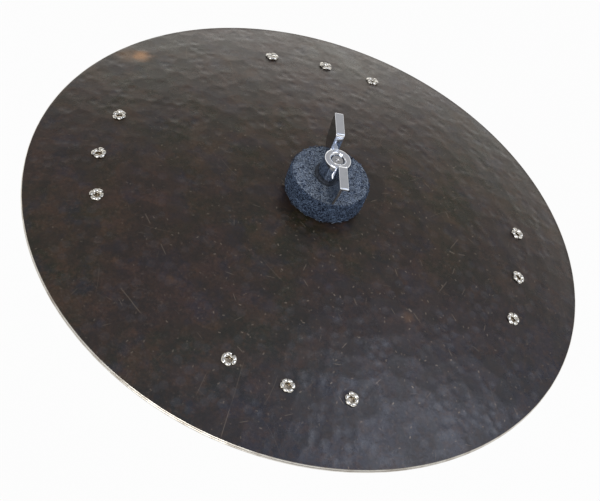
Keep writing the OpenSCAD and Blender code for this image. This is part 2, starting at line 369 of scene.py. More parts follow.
def long_scratch(place, start, end, width):
    """One scratch between two points on the plate, as a mask."""
    run = Vector(end) - Vector(start)
    length = run.length
    run.normalize()
    x = place.part("X") - start[0]
    y = place.part("Y") - start[1]
    along = x * run.x + y * run.y
    across = y * run.x - x * run.y
    line = 1 - across.maths("ABSOLUTE").step(width * 0.25, width)
    return line * along.step(0.0, 0.15 * length) * (1 - along.step(0.8 * length, length))


# Long scratches on the top plate, in millimetres from the stud: start, end, width and strength
LONG_SCRATCHES = [
    ((-74.9, -69.8), (-63.4, -81.0), 0.3, 0.5),
    ((-20.5, -90.5), (-22.2, -112.5), 0.26, 0.22),
    ((-22.2, -111.5), (-23.4, -125.0), 0.26, 0.5),
    ((-72.3, -32.2), (-68.9, -37.6), 0.34, 0.45),
    ((-63.3, -46.1), (-59.8, -51.8), 0.34, 0.4),
    ((-33.9, -99.8), (-36.2, -110.5), 0.24, 0.3),
    ((-18.2, -0.2), (-17.0, -1.2), 0.6, 1.0),
    ((60.2, -8.3), (63.2, -8.9), 0.45, 1.0),
    ((60.6, -7.1), (64.8, 1.6), 0.3, 0.5),
    ((56.7, -33.2), (60.3, -25.6), 0.3, 0.5),
    ((43.6, -47.2), (45.4, -48.3), 0.6, 1.0),
    ((46.0, -48.2), (48.6, -50.8), 0.35, 0.5),
    ((44.4, -52.2), (45.4, -53.6), 0.4, 0.6),
]

# Coppery stains on the top plate: middle, reach, size of the ragged edge and strength
STAINS = [
    ((-97, 73), 9.0, 6, 0.22),
    ((-90.5, 73), 6.5, 5, 0.75),
    ((-55.6, -62.9), 3.0, 2, 0.07),
    ((-79.3, -57.9), 2.6, 2, 0.05),
    ((44, -51.5), 4.2, 2, 0.16),
]

# Parts of a plate that are browner, with middle, reach and strength, and that are more worn
WARM_ZONES = [((-70, -28), 46, 0.6), ((-10, 48), 75, 0.4)]
WORN_ZONE = ((25, -40), 145)

# Painted reflection: the patina turns to slate, a painted blue-grey sheen, in this direction, between
# these distances, along a ragged line
SHEEN_TOWARDS = (0.55, -0.83)
SHEEN_FROM = 30
SHEEN_TO = 125
SHEEN_RAGGED = 60


def patinated_bronze(name, colours, long_scratches, stains):
    """Dark oxidised bronze with mottled tones, fine scratches and specks, and its own marks of use, with a
    painted blue-grey reflection on one side and painted highlights on its small hammer marks.
    """
    finish = Finish(name, {"Specular IOR Level": 0.5})
    place = finish.place
    clouds = place.noise(46, 3).step(0.38, 0.62)
    blots = place.noise(14, 4).step(0.42, 0.6)
    grain = place.noise(3.0, 5, 0.65)
    mark = place.node("ShaderNodeAttribute", {"attribute_name": "mark_tone"}, None, "Fac")
    spot = place.node("ShaderNodeAttribute", {"attribute_name": "mark_spot"}, None, "Fac")
    # Painted reflection: a blue-grey sheen that grows towards one side of the plate
    ahead = place.part("X") * SHEEN_TOWARDS[0] + place.part("Y") * SHEEN_TOWARDS[1]
    ragged_line = (place.noise(40, 2) - 0.5) * SHEEN_RAGGED
    blue_sheen = (ahead + ragged_line).step(SHEEN_FROM, SHEEN_TO)
    tone = (blots * 0.45).mixed(colours.olive, colours.umber)
    for centre, reach, strength in WARM_ZONES:
        zone = blotch(place, centre, reach, 24)
        tone = (zone * strength * (0.4 + blots * 0.6)).mixed(tone, colours.umber)
    tone = (clouds * 0.55).mixed(tone, colours.plum)
    tone = (place.noise(13, 4).step(0.5, 0.64) * 0.4).mixed(tone, colours.slate_and_sheen)
    tone = (blue_sheen * 0.75).mixed(tone, colours.slate_and_sheen)
    tone = (grain.step(0.44, 0.64) * 0.4).mixed(tone, colours.umber)
    pores = place.noise(1.3, 4, 0.7)
    tone = (pores.step(0.5, 0.66) * 0.55).mixed(tone, colours.pore_dark)
    tone = ((1 - pores.step(0.34, 0.46)) * 0.4).mixed(tone, colours.pore_pale)
    tone = (mark.step(0.25, 0.85) * 0.5).mixed(tone, colours.mark_dark)
    # Painted highlight on the small hammer marks, stronger where the painted sheen lies
    tone = (spot.step(0.05, 0.4) * (0.1 + blue_sheen * 0.16)).mixed(tone, colours.mark_highlight)
    fine = scratches(place, cell=26, length=18, width=0.15, share=0.5, bend=0.25)
    short = scratches(place, cell=11, length=4.5, width=0.22, share=0.5)
    nicks = scratches(place.scaled(1.02), cell=6, length=1.4, width=0.38, share=0.45)
    dots = scratches(place.scaled(0.97), cell=3.6, length=0.8, width=0.4, share=0.3)
    worn = 0.25 + blotch(place, *WORN_ZONE, 40) * 1.3
    marks = fine * 0.5 + (short * 0.9 + nicks * 1.2 + dots * 0.6) * worn
    for start, end, width, strength in long_scratches:
        marks = marks + long_scratch(place, start, end, width) * strength
    marks = marks.maths("MINIMUM", 1.0)
    shine = marks * 0.6
    for centre, reach, ragged, strength in stains:
        patch = blotch(place, centre, reach, ragged) * strength
        tone = patch.mixed(tone, colours.copper)
        shine = shine + patch * 0.4
    tone = (marks * 0.6).mixed(tone, colours.scratch)
    finish.feed("Base Color", tone)
    finish.feed("Metallic", shine)
    rough = 0.25 + blots * 0.07 + mark * 0.08
    finish.feed("Roughness", rough + (grain - 0.5) * 0.2 + (pores - 0.5) * 0.3)
    finish.bump(grain * 0.6 + pores * 0.6, 0.09, 0.8)
    return finish.material


def bare_edge(colours):
    """Turned, unpatinated edge of a plate."""
    finish = Finish("bare bronze edge", {"Metallic": 1.0})
    wear = finish.place.noise(6, 4)
    finish.feed("Base Color", wear.step(0.35, 0.75).mixed(colours.bare_bronze, colours.worn_bronze))
    finish.feed("Roughness", 0.22 + wear * 0.18)
    finish.bump(finish.place.noise(0.7, 3), 0.02, 0.4)
    return finish.material


# The felt's top turns into its side between these distances from the stud, in millimetres, and the side
# gets painted shade
FELT_SHADED_SIDE = (16.7, 17.5)


def wool_felt(colours):
    """Pressed wool with dark and pale flecks and pale loose fibres, and painted shade on its side: darker,
    bluer colour there and a darker band where the top turns into the side.
    """
    finish = Finish("wool felt", {"Roughness": 0.95, "Specular IOR Level": 0.25})
    place = finish.place
    flecks = place.noise(1.5, 3, 0.7)
    wisps = place.node("ShaderNodeTexNoise", None, {
        "Vector": place, "Scale": 1 / 2.4, "Detail": 3.0, "Distortion": 3.0})
    clumps = place.noise(6, 3)
    fibre = place.node("ShaderNodeAttribute", {"attribute_name": "fibre_tone"}, None, "Fac")
    # Painted shade: the side is darkened and made bluer, with a darker band where the top turns into the
    # side
    rim = distance(place, (0, 0)).step(*FELT_SHADED_SIDE)
    tone = flecks.step(0.38, 0.56).mixed(colours.felt_dark, colours.felt)
    tone = (rim * 0.95).mixed(tone, colours.felt_side_shade)
    vein = 1 - (wisps - 0.5).maths("ABSOLUTE").step(0.015, 0.075)
    pale = rim.mixed(colours.felt_light, colours.felt_side_pale_shade)
    tone = (vein * (0.7 - rim * 0.26)).mixed(tone, pale)
    tone = (rim * (1 - rim) * 1.8).mixed(tone, colours.felt_dark)
    tone = (clumps.step(0.5, 0.75) * 0.45).mixed(tone, colours.felt_dark)
    tone = (fibre - rim * 0.25).mixed(tone, pale)
    finish.feed("Base Color", tone)
    finish.bump(flecks * 0.6 + wisps * 0.4, 0.4, 0.9)
    return finish.material


def bright_metal(name, shades, roughness, blot):
    """Plated or polished metal with faint handling marks, and painted shade (a darker base colour, a
    little rougher) where its mesh is marked so.
    """
    base, smudged, dull = shades
    least, most = roughness
    finish = Finish(name, {"Metallic": 1.0})
    smudge = finish.place.noise(blot, 4)
    shade = smudge.node("ShaderNodeAttribute", {"attribute_name": "dull"}, None, "Fac")
    tone = smudge.step(0.45, 0.8).mixed(base, smudged)
    finish.feed("Base Color", shade.mixed(tone, dull))
    finish.feed("Roughness", least + smudge.step(0.4, 0.75) * (most - least) + shade * 0.06)
    finish.bump(finish.place.noise(blot / 4, 3), 0.01, 0.3)
    return finish.material


def blackened_steel(colours):
    """Matt blackened steel with a fine, uneven grain."""
    finish = Finish("blackened steel", {"Specular IOR Level": 0.3})
    grain = finish.place.noise(0.9, 4, 0.7)
    tone = grain.step(0.35, 0.65).mixed(colours.black_steel_dark, colours.black_steel)
    finish.feed("Base Color", tone)
    finish.feed("Roughness", 0.55 + grain * 0.3)
    finish.bump(grain, 0.05, 0.5)
    return finish.material


def natural_nylon(colours):
    """Milky nylon with faint moulding flow."""
    finish = Finish("natural nylon", {"Subsurface Weight": 0.1})
    flow = finish.place.noise(6, 3)
    finish.feed("Base Color", flow.mixed(colours.nylon, colours.nylon_flow))
    finish.feed("Roughness", 0.38 + flow * 0.15)
    return finish.material


# Meshes

# A point closer to the axis than this lies on it
ON_AXIS = 1e-7


def new_piece(name, points, faces):
    """An object at the origin with this mesh."""
    mesh = bpy.data.meshes.new(name)
    mesh.from_pydata([tuple(p) for p in points], [], [tuple(int(i) for i in f) for f in faces])
    mesh.update()
    piece = bpy.data.objects.new(name, mesh)
    bpy.context.scene.collection.objects.link(piece)
    return piece


def settle(piece, body, slot, *nodes):
    """The piece rides on a body and stands for these nodes."""
    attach(piece, body)
    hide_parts(*nodes)


def mark_painted_shade(piece, domain, values):
    """Stores how much painted shade (a darker base colour, a little rougher) the metal gets on a mesh."""
    piece.data.attributes.new("dull", "FLOAT", domain).data.foreach_set("value", values)


def fix_normals(piece):
    """Turns the faces of a closed mesh outwards."""
    work = bmesh.new()
    work.from_mesh(piece.data)
    bmesh.ops.recalc_face_normals(work, faces=work.faces)
    work.to_mesh(piece.data)
    work.free()


def smooth(piece, angle=35):
    """Smooth shading with sharp edges past the angle."""
    piece.data.shade_smooth()
    piece.data.set_sharp_from_angle(angle=math.radians(angle))


def baked(piece):
    """Turns the piece's modifiers into plain mesh."""
    depsgraph = bpy.context.evaluated_depsgraph_get()
    mesh = bpy.data.meshes.new_from_object(
        piece.evaluated_get(depsgraph), preserve_all_data_layers=True, depsgraph=depsgraph)
    piece.modifiers.clear()
    piece.data = mesh
    mesh.name = piece.name


def run_tree(piece, tree, values):
    """Runs a node tree on the piece and keeps the result as plain mesh."""
    modifier = piece.modifiers.new(tree.name, "NODES")
    modifier.node_group = tree
    for item in tree.interface.items_tree:
        if item.item_type == "SOCKET" and item.in_out == "INPUT" and item.name in values:
            modifier[item.identifier] = values[item.name]
    baked(piece)


def new_tree(name, inputs):
    """A node tree with a geometry in and out, its other named inputs, and its last node."""
    tree = bpy.data.node_groups.new(name, "GeometryNodeTree")
    tree.interface.new_socket("Geometry", in_out="OUTPUT", socket_type="NodeSocketGeometry")
    tree.interface.new_socket("Geometry", in_out="INPUT", socket_type="NodeSocketGeometry")
    for label, kind in inputs.items():
        tree.interface.new_socket(label, in_out="INPUT", socket_type="NodeSocket" + kind)
    entry = tree.nodes.new("NodeGroupInput")
    wires = {socket.name: Wire(tree, socket) for socket in entry.outputs if socket.name}
    last = tree.nodes.new("NodeGroupOutput")
    return tree, wires, last


def end_tree(tree, geometry, last):
    """Joins the last geometry to the tree's output."""
    tree.links.new(geometry.socket, last.inputs[0])


def end_with_copies(tree, body, copies, material, last):
    """Joins a body and its copies of a detail, makes them one real mesh and ends the tree."""
    both = copies.node("GeometryNodeJoinGeometry", None, {0: body})
    tree.links.new(copies.socket, both.socket.node.inputs[0])
    whole = both.node("GeometryNodeRealizeInstances", None, {0: both})
    end_tree(tree, whole.node("GeometryNodeSetMaterial", None, {
        "Geometry": whole, "Material": material}), last)


def rounded(corners, radius, steps=4):
    """An open outline with its inner corners rounded, as far as its sides allow."""
    points = [Vector(corners[0])]
    for before, corner, after in zip(corners, corners[1:], corners[2:]):
        corner = Vector(corner)
        to_before = Vector(before) - corner
        to_after = Vector(after) - corner
        cut = min(radius, to_before.length * 0.45, to_after.length * 0.45)
        start = corner + to_before.normalized() * cut
        end = corner + to_after.normalized() * cut
        for k in range(steps + 1):
            t = k / steps
            points.append(start * (1 - t) ** 2 + corner * 2 * t * (1 - t) + end * t ** 2)
    points.append(Vector(corners[-1]))
    return points


def held(outline, gap=0.12 * MM):
    """An outline with extra points near the ends of its long sides, which keep them flat."""
    points = []
    for a, b in zip(outline, outline[1:]):
        a, b = Vector(a), Vector(b)
        length = (b - a).length
        points.append(a)
        if length > 4 * gap:
            points += [a.lerp(b, gap / length), a.lerp(b, 1 - gap / length)]
    return points + [Vector(outline[-1])]


def lathe(outline, segments, closed=False):
    """Points and faces of an outline of radius and height turned about Z."""
    points, rings = [], []
    for r, z in outline:
        if r < ON_AXIS:
            rings.append([len(points)] * segments)
            points.append((0.0, 0.0, z))
        else:
            rings.append([len(points) + k for k in range(segments)])
            points += [(r * math.cos(math.tau * k / segments), r * math.sin(math.tau * k / segments), z)
                       for k in range(segments)]
    faces = []
    pairs = list(zip(rings, rings[1:]))
    if closed:
        pairs.append((rings[-1], rings[0]))
    for low, high in pairs:
        for k in range(segments):
            n = (k + 1) % segments
            corners = dict.fromkeys((low[k], low[n], high[n], high[k]))
            faces.append(list(corners))
    return points, faces


def turned(name, corners, radius, segments, metal):
    """A piece turned about Z from a closed outline of these corners, rounded by the radius."""
    outline = held(rounded([*corners, corners[0]], radius))[:-1]
    piece = new_piece(name, *lathe(outline, segments, closed=True))
    fix_normals(piece)
    piece.data.materials.append(metal)
    smooth(piece, 40)
    return piece


def circle(centre, across, up, radius, count):
    """Points round a circle in the plane of two directions."""
    turns = np.linspace(0, math.tau, count, endpoint=False)
    return (np.array(centre) + radius * np.outer(np.cos(turns), across)
            + radius * np.outer(np.sin(turns), up))


# Plates

RIM_POINTS = 900
CENTRE_POINTS = 96
HOLE_POINTS = 28
COARSE_STEP = 3.6 * MM
FADE = 1.6 * MM
MERGE_DISTANCE = 1e-9

# Room between a face's grid and its loops, as a share of the grid's step
GRID_ROOM = 0.7

# How far the upper edge is rounded down, as a share of its rounding
EDGE_DROP = 0.6

# Broad and small hammer marks: spacing in mark sizes, reach in spacings, and the share struck
BROAD_MARKS = (1.7, 0.66, 1.0)
SMALL_MARKS = (1.0, 0.42, 0.5)

# How far a strike strays from the spiral, in spacings
STRAY = 0.3
PLATE_SEEDS = (1, 60)


def hole_loops(depth, rim_r):
    """Loops of a face at this depth: the rim, the centre hole and the rivet holes, seen from above."""
    flat = ((1, 0, 0), (0, 1, 0))
    loops = [circle((0, 0, 0), *flat, rim_r, RIM_POINTS),
             circle((0, 0, 0), *flat, PLATE_HOLE_R, CENTRE_POINTS)]
    for axis in RIVET_AXES.values():
        across = axis.cross((0, 0, 1)).normalized()
        centre = axis * (DOME_R - depth)
        loops.append(circle(centre, across, axis.cross(across), RIVET_HOLE_R, HOLE_POINTS))
    return [loop[:, :2] for loop in loops]


def dome_z(depth, points):
    """Heights of a face at this depth."""
    return DOME_CENTRE_Z + np.sqrt((DOME_R - depth) ** 2 - (points ** 2).sum(axis=1))


def edge_distance(points, loops):
    """Distance from each point to the nearest loop."""
    near = PLATE_R - np.linalg.norm(points, axis=1)
    for loop in loops[1:]:
        middle = loop.mean(axis=0)
        reach = np.linalg.norm(loop - middle, axis=1).mean()
        near = np.minimum(near, np.linalg.norm(points - middle, axis=1) - reach)
    return near


def dome_face(depth, loops, step):
    """Points of a face, its triangles, and the places of each loop's points among them."""
    row = step * math.sqrt(3) / 2
    count = int(PLATE_R / row) + 1
    rows = np.arange(-count, count + 1)
    x, k = np.meshgrid(np.arange(-count, count + 1) * step, rows)
    grid = np.stack([(x + (k % 2) * step / 2).ravel(), (k * row).ravel()], axis=1)
    grid = grid[np.linalg.norm(grid, axis=1) < PLATE_R]
    grid = grid[edge_distance(grid, loops) > GRID_ROOM * step]
    sources = np.concatenate([*loops, grid])
    edges, starts = [], []
    first = 0
    for loop in loops:
        starts.append(first)
        edges += [(first + i, first + (i + 1) % len(loop)) for i in range(len(loop))]
        first += len(loop)
    made = delaunay_2d_cdt([Vector(p) for p in sources], edges, [], 0, MERGE_DISTANCE)
    flat = np.array([tuple(p) for p in made[0]])
    home = {source: out for out, found in enumerate(made[3]) for source in found}
    triangles = np.array(made[2])
    middles = flat[triangles].mean(axis=1)
    triangles = triangles[edge_distance(middles, loops) > 0]
    points = np.column_stack([flat, dome_z(depth, flat)])
    places = [[home[start + i] for i in range(len(loop))] for start, loop in zip(starts, loops)]
    return points, triangles, places


def plate_piece(name, depth, hammered_side, sizes):
    """A closed plate whose upper face lies at the depth, with a fine mesh on its hammered side."""
    edge = sizes.edge_round
    steps = {"upper": COARSE_STEP, "lower": COARSE_STEP}
    steps[hammered_side] = sizes.face_step
    upper_loops = hole_loops(depth, PLATE_R - edge)
    lower_loops = hole_loops(depth + PLATE_T, PLATE_R - edge)
    upper, upper_faces, upper_rings = dome_face(depth, upper_loops, steps["upper"])
    lower, lower_faces, lower_rings = dome_face(depth + PLATE_T, lower_loops, steps["lower"])
    rim = circle((0, 0, 0), (1, 0, 0), (0, 1, 0), PLATE_R, RIM_POINTS)
    top_edge = rim.copy()
    top_edge[:, 2] = dome_z(depth, rim[:, :2]) - edge * EDGE_DROP
    low_edge = rim.copy()
    low_edge[:, 2] = dome_z(depth + PLATE_T, rim[:, :2]) + edge
    points = np.concatenate([upper, lower, top_edge, low_edge])
    shift = len(upper)
    top_ring = [shift + len(lower) + i for i in range(RIM_POINTS)]
    low_ring = [i + RIM_POINTS for i in top_ring]
    lower_rings = [[i + shift for i in ring] for ring in lower_rings]
    faces = [tuple(t) for t in upper_faces]
    faces += [(a + shift, c + shift, b + shift) for a, b, c in lower_faces]
    bare_from = len(faces)
    for high, low in ((upper_rings[0], top_ring), (top_ring, low_ring), (low_ring, lower_rings[0])):
        faces += [(high[i], low[i], low[i - RIM_POINTS + 1], high[i - RIM_POINTS + 1])
                  for i in range(RIM_POINTS)]
    for high, low in zip(upper_rings[1:], lower_rings[1:]):
        count = len(high)
        faces += [(high[i - count + 1], low[i - count + 1], low[i], high[i]) for i in range(count)]
    piece = new_piece(name, points, faces)
    weights = np.zeros(len(points), np.float32)
    if hammered_side == "upper":
        weights[:shift] = np.clip(edge_distance(upper[:, :2], upper_loops) / FADE, 0, 1)
    else:
        spread = edge_distance(lower[:, :2], lower_loops) / FADE
        weights[shift:shift + len(lower)] = -np.clip(spread, 0, 1)
    piece.data.attributes.new("mark_weight", "FLOAT", "POINT").data.foreach_set("value", weights)
    bare = np.zeros(len(faces), bool)
    bare[bare_from:] = True
    piece.data.attributes.new("bare", "BOOLEAN", "FACE").data.foreach_set("value", bare)
    fix_normals(piece)
    return piece


def strike_field(place, seed, mark_size, pattern):
    """Depth and random tone of hammer strikes that follow a spiral out from the middle."""
    spacing, reach, share = pattern
    pitch = mark_size * spacing
    index = place.node("GeometryNodeInputIndex")
    jitter = place.node("FunctionNodeRandomValue", {"data_type": "FLOAT_VECTOR"},
                        {0: (-STRAY, -STRAY, 0.0), 1: (STRAY, STRAY, 0.0), 8: seed})
    out = ((index + 0.5) / math.pi).maths("SQRT") * pitch
    turn = out / pitch * math.tau
    spot = place.node("ShaderNodeCombineXYZ", None, {
        "X": out * turn.maths("COSINE"), "Y": out * turn.maths("SINE")})
    spot = spot.node("ShaderNodeVectorMath", {"operation": "ADD"},
                     {0: spot, 1: jitter.scaled(pitch)})
    count = (PLATE_R * PLATE_R * math.pi) / (pitch * pitch)
    strikes = place.node("GeometryNodePoints", None, {"Count": count, "Position": spot})
    flat = place.node("ShaderNodeCombineXYZ", None, {"X": place.part("X"), "Y": place.part("Y")})
    nearest = place.node("GeometryNodeSampleNearest", None,
                         {"Geometry": strikes, "Sample Position": flat})
    centre = place.node("GeometryNodeSampleIndex", {"data_type": "FLOAT_VECTOR"}, {
        "Geometry": strikes, "Value": place.node("GeometryNodeInputPosition"), "Index": nearest})
    away = flat.node("ShaderNodeVectorMath", {"operation": "DISTANCE"}, {0: flat, 1: centre}, 1)
    chance = place.node("FunctionNodeRandomValue", {"data_type": "FLOAT"},
                        {2: 0.0, 3: 1.0, 7: nearest, 8: seed + 20}, 1)
    near = away / (pitch * reach)
    return (1 - near * near).maths("MAXIMUM", 0.0) * chance.maths("LESS_THAN", share), chance


def hammer_tree():
    """Presses round, overlapping hammer marks and slow waves into a plate."""
    tree, wires, last = new_tree("Hammer marks", {
        "Mark Size": "Float", "Mark Depth": "Float", "Wave Size": "Float", "Wave Depth": "Float",
        "Seed": "Int", "Patina": "Material", "Edge": "Material"})
    body = wires["Geometry"]
    place = body.node("GeometryNodeInputPosition")
    weight = body.node("GeometryNodeInputNamedAttribute", {"data_type": "FLOAT"},
                       {"Name": "mark_weight"})
    bare = body.node("GeometryNodeInputNamedAttribute", {"data_type": "BOOLEAN"}, {"Name": "bare"})
    broad, tone = strike_field(place, wires["Seed"], wires["Mark Size"], BROAD_MARKS)
    small, other = strike_field(place, wires["Seed"] + 5, wires["Mark Size"], SMALL_MARKS)
    worked = place.scaled(1 / wires["Mark Size"]).noise(4.0, 2).step(0.36, 0.62)
    depth = broad * 0.7 + small * (0.25 + worked * 0.45)
    waves = place.scaled(1 / wires["Wave Size"]).noise(1.0, 2) - 0.5
    drop = (depth * wires["Mark Depth"] + waves * wires["Wave Depth"]) * weight * -1.0
    shift = drop.node("ShaderNodeCombineXYZ", None, {"Z": drop})
    toned = body.node("GeometryNodeStoreNamedAttribute", {"data_type": "FLOAT", "domain": "POINT"}, {
        "Geometry": body, "Name": "mark_tone", "Value": tone * 0.55 + other * 0.45})
    # Where the small hammer marks lie, for their painted highlight in the patina
    spotted = body.node("GeometryNodeStoreNamedAttribute", {"data_type": "FLOAT", "domain": "POINT"}, {
        "Geometry": toned, "Name": "mark_spot", "Value": small * worked})
    moved = body.node("GeometryNodeSetPosition", None, {"Geometry": spotted, "Offset": shift})
    whole = moved.node("GeometryNodeRealizeInstances", None, {0: moved})
    dark = whole.node("GeometryNodeSetMaterial", None,
                      {"Geometry": whole, "Material": wires["Patina"]})
    end_tree(tree, dark.node("GeometryNodeSetMaterial", None, {
        "Geometry": dark, "Selection": bare, "Material": wires["Edge"]}), last)
    return tree


class CYMBAL_OT_plates(Operator):
    """Builds the two hammered plates"""

    bl_idname = "cymbal.plates"
    bl_label = "Hammered plates"

    def execute(self, context):
        sizes = context.scene.cymbal_sizes
        colours = context.scene.cymbal_colours
        used = patinated_bronze("patinated bronze", colours, LONG_SCRATCHES, STAINS)
        plain = patinated_bronze("patinated bronze underside", colours, [], [])
        edge = bare_edge(colours)
        tree = hammer_tree()
        for name, body, depth, side, seed, patina in (
                ("top_plate_hammered", "upper_plate", 0.0, "upper", PLATE_SEEDS[0], used),
                ("bottom_plate_hammered", "lower_plate", LOWER_FACE, "lower", PLATE_SEEDS[1], plain)):
            piece = plate_piece(name, depth, side, sizes)
            run_tree(piece, tree, {
                "Mark Size": sizes.mark_size, "Mark Depth": sizes.mark_depth,
                "Wave Size": sizes.wave_size, "Wave Depth": sizes.wave_depth,
                "Seed": seed, "Patina": patina, "Edge": edge})
            smooth(piece, 25)
            settle(piece, body, "patinated_bronze", name.replace("_hammered", ""))
        return {"FINISHED"}


# Rivets

PETAL_STEPS = 9
PETAL_ROWS = 7
PETAL_CURL = math.radians(172)
PETAL_FOOT = 0.12 * MM
PETAL_HOLLOW = 0.12 * MM

# A petal's width at its root and where its tip starts to narrow, as shares, and how much it narrows
PETAL_ROOT_W = 0.62
PETAL_TIP_FROM = 0.75
PETAL_TIP_CUT = 0.4
PETAL_TIP_THIN = 0.3

# A petal swells along this much of a half wave, and its sides keep this share of its squared thickness
PETAL_SWELL = 0.85
PETAL_SIDE = 0.06

RIVET_SEGMENTS = 40
RIVET_ROUND = 0.3 * MM
HEAD_SLOPE_W = 0.9 * MM
HEAD_SLOPE_H = 0.45 * MM
BORE_MARGIN = 0.02 * MM
FLOOR_MARGIN = 0.1 * MM
RIVET_TURN = math.radians(37)
RIVET_UNEVENNESS = 0.16


def petal_mesh(sizes):
    """Points and faces of one petal that curls outwards from the tube, along +X."""
    root = RIVET_BORE_R + sizes.petal_t / 2
    curl_r = (PETAL_R - sizes.petal_t * 0.6 - root) / (1 - math.cos(PETAL_CURL))
    shells = []
    for side in (1, -1):
        for i in range(PETAL_STEPS):
            u = i / (PETAL_STEPS - 1)
            turn = PETAL_CURL * u
            swell = math.sin(math.pi * PETAL_SWELL * u)
            half_w = sizes.petal_w / 2 * (PETAL_ROOT_W + (1 - PETAL_ROOT_W) * swell)
            if u > PETAL_TIP_FROM:
                tip = (u - PETAL_TIP_FROM) / (1 - PETAL_TIP_FROM)
                half_w *= 1 - tip ** 2 * PETAL_TIP_CUT
            for j in range(PETAL_ROWS):
                v = 2 * j / (PETAL_ROWS - 1) - 1
                thick = sizes.petal_t / 2 * math.sqrt(max(PETAL_SIDE, 1 - v ** 4))
                thick *= 1 - PETAL_TIP_THIN * u
                r = curl_r + side * thick - PETAL_HOLLOW * v * v
                shells.append((root + curl_r - r * math.cos(turn), half_w * v,
                               PETAL_FOOT + r * math.sin(turn)))
    layer = PETAL_STEPS * PETAL_ROWS
    faces = []
    for i in range(PETAL_STEPS - 1):
        for j in range(PETAL_ROWS - 1):
            a = i * PETAL_ROWS + j
            quad = (a, a + 1, a + PETAL_ROWS + 1, a + PETAL_ROWS)
            faces.append(quad)
            faces.append(tuple(layer + k for k in reversed(quad)))
    border = list(range(PETAL_ROWS))
    border += [i * PETAL_ROWS + PETAL_ROWS - 1 for i in range(1, PETAL_STEPS)]
    border += [(PETAL_STEPS - 1) * PETAL_ROWS + j for j in reversed(range(PETAL_ROWS - 1))]
    border += [i * PETAL_ROWS for i in reversed(range(1, PETAL_STEPS - 1))]
    for a, b in zip(border, border[1:] + border[:1]):
        faces.append((b, a, a + layer, b + layer))
    return shells, faces


def rivet_core():
    """Points and faces of a rivet's tube and closed lower head."""
    head_top = -UNDERSIDE - RIVET_PLAY
    foot = head_top - HEAD_T
    outline = [
        (0, foot), (HEAD_R - HEAD_SLOPE_W, foot), (HEAD_R, foot + HEAD_SLOPE_H), (HEAD_R, head_top),
        (RIVET_TUBE_R, head_top), (RIVET_TUBE_R, PETAL_FOOT), (RIVET_BORE_R, PETAL_FOOT),
        (RIVET_BORE_R, RIVET_FLOOR), (0, RIVET_FLOOR)]
    return lathe(rounded(outline, RIVET_ROUND, 3), RIVET_SEGMENTS)


def bore_marks(piece):
    """1 at the points inside a rivet's bore, which get painted shade, and 0 elsewhere."""
    bore = RIVET_BORE_R + BORE_MARGIN
    floor = RIVET_FLOOR - FLOOR_MARGIN
    return [float(floor < v.co.z < PETAL_FOOT and v.co.xy.length < bore)
            for v in piece.data.vertices]


def rivet_tree():
    """Sets curled petals round a rivet's tube, each a little out of true."""
    tree, wires, last = new_tree("Split rivet", {
        "Petal": "Object", "Petals": "Int", "Unevenness": "Float", "Seed": "Int",
        "Plating": "Material"})
    core = wires["Geometry"]
    petal = core.node("GeometryNodeObjectInfo", None, {"Object": wires["Petal"]}, "Geometry")
    spots = core.node("GeometryNodePoints", None, {"Count": wires["Petals"]})
    index = core.node("GeometryNodeInputIndex")
    uneven = wires["Unevenness"]
    turn = core.random(uneven * -1.0, uneven, wires["Seed"])
    lean = core.random(uneven * -0.35, uneven * 0.35, wires["Seed"] + 50)
    size = core.random(1 - uneven * 0.7, 1 + uneven * 0.2, wires["Seed"] + 100)
    rotation = core.node("ShaderNodeCombineXYZ", None, {
        "Y": lean, "Z": index / wires["Petals"] * math.tau + turn})
    scale = core.node("ShaderNodeCombineXYZ", None, {"X": size, "Y": size, "Z": size})
    ring = spots.node("GeometryNodeInstanceOnPoints", None, {
        "Points": spots, "Instance": petal, "Rotation": rotation, "Scale": scale})
    end_with_copies(tree, core, ring, wires["Plating"], last)
    return tree


class CYMBAL_OT_rivets(Operator):
    """Builds the split rivets"""

    bl_idname = "cymbal.rivets"
    bl_label = "Split rivets"

    def execute(self, context):
        sizes = context.scene.cymbal_sizes
        colours = context.scene.cymbal_colours
        shades = (colours.nickel, colours.nickel_smudge, colours.nickel_painted_shade)
        plating = bright_metal("rivet nickel", shades, roughness=(0.16, 0.32), blot=2.5)
        tree = rivet_tree()
        petal = new_piece("petal", *petal_mesh(sizes))
        for number, (name, axis) in enumerate(sorted(RIVET_AXES.items())):
            piece = new_piece(name + "_split", *rivet_core())
            # Painted shade inside the rivet's bore
            mark_painted_shade(piece, "POINT", bore_marks(piece))
            run_tree(piece, tree, {
                "Petal": petal, "Petals": sizes.petal_count, "Unevenness": RIVET_UNEVENNESS,
                "Seed": number, "Plating": plating})
            turn = Matrix.Rotation(RIVET_TURN * number, 4, "Z")
            lean = Vector((0, 0, 1)).rotation_difference(axis).to_matrix().to_4x4()
            home = Matrix.Translation(Vector((0, 0, DOME_CENTRE_Z)) + axis * DOME_R)
            piece.data.transform(home @ lean @ turn)
            smooth(piece, 50)
            settle(piece, name, "rivet_nickel", name)
        bpy.data.objects.remove(petal)
        return {"FINISHED"}


# Felts

FELT_SEGMENTS = 180
FELT_BORE_R = SLEEVE_R + 1.3 * MM
FELT_STEP = 0.55 * MM
FELT_TOP_ROUND = 1.3 * MM
UPPER_FOOT_ROUND = 4 * MM
LOWER_FOOT_ROUND = 1.2 * MM
FELT_SEAT = 0.15 * MM
WASHER_PRESS = 0.35 * MM
PRESS_REACH = 4 * MM

# The felt's uneven skin, and the room that it is given inside the solid
LUMP_H = 0.16 * MM
LUMP_SIZE = 4.5 * MM
LUMP_ROOM = 0.2 * MM

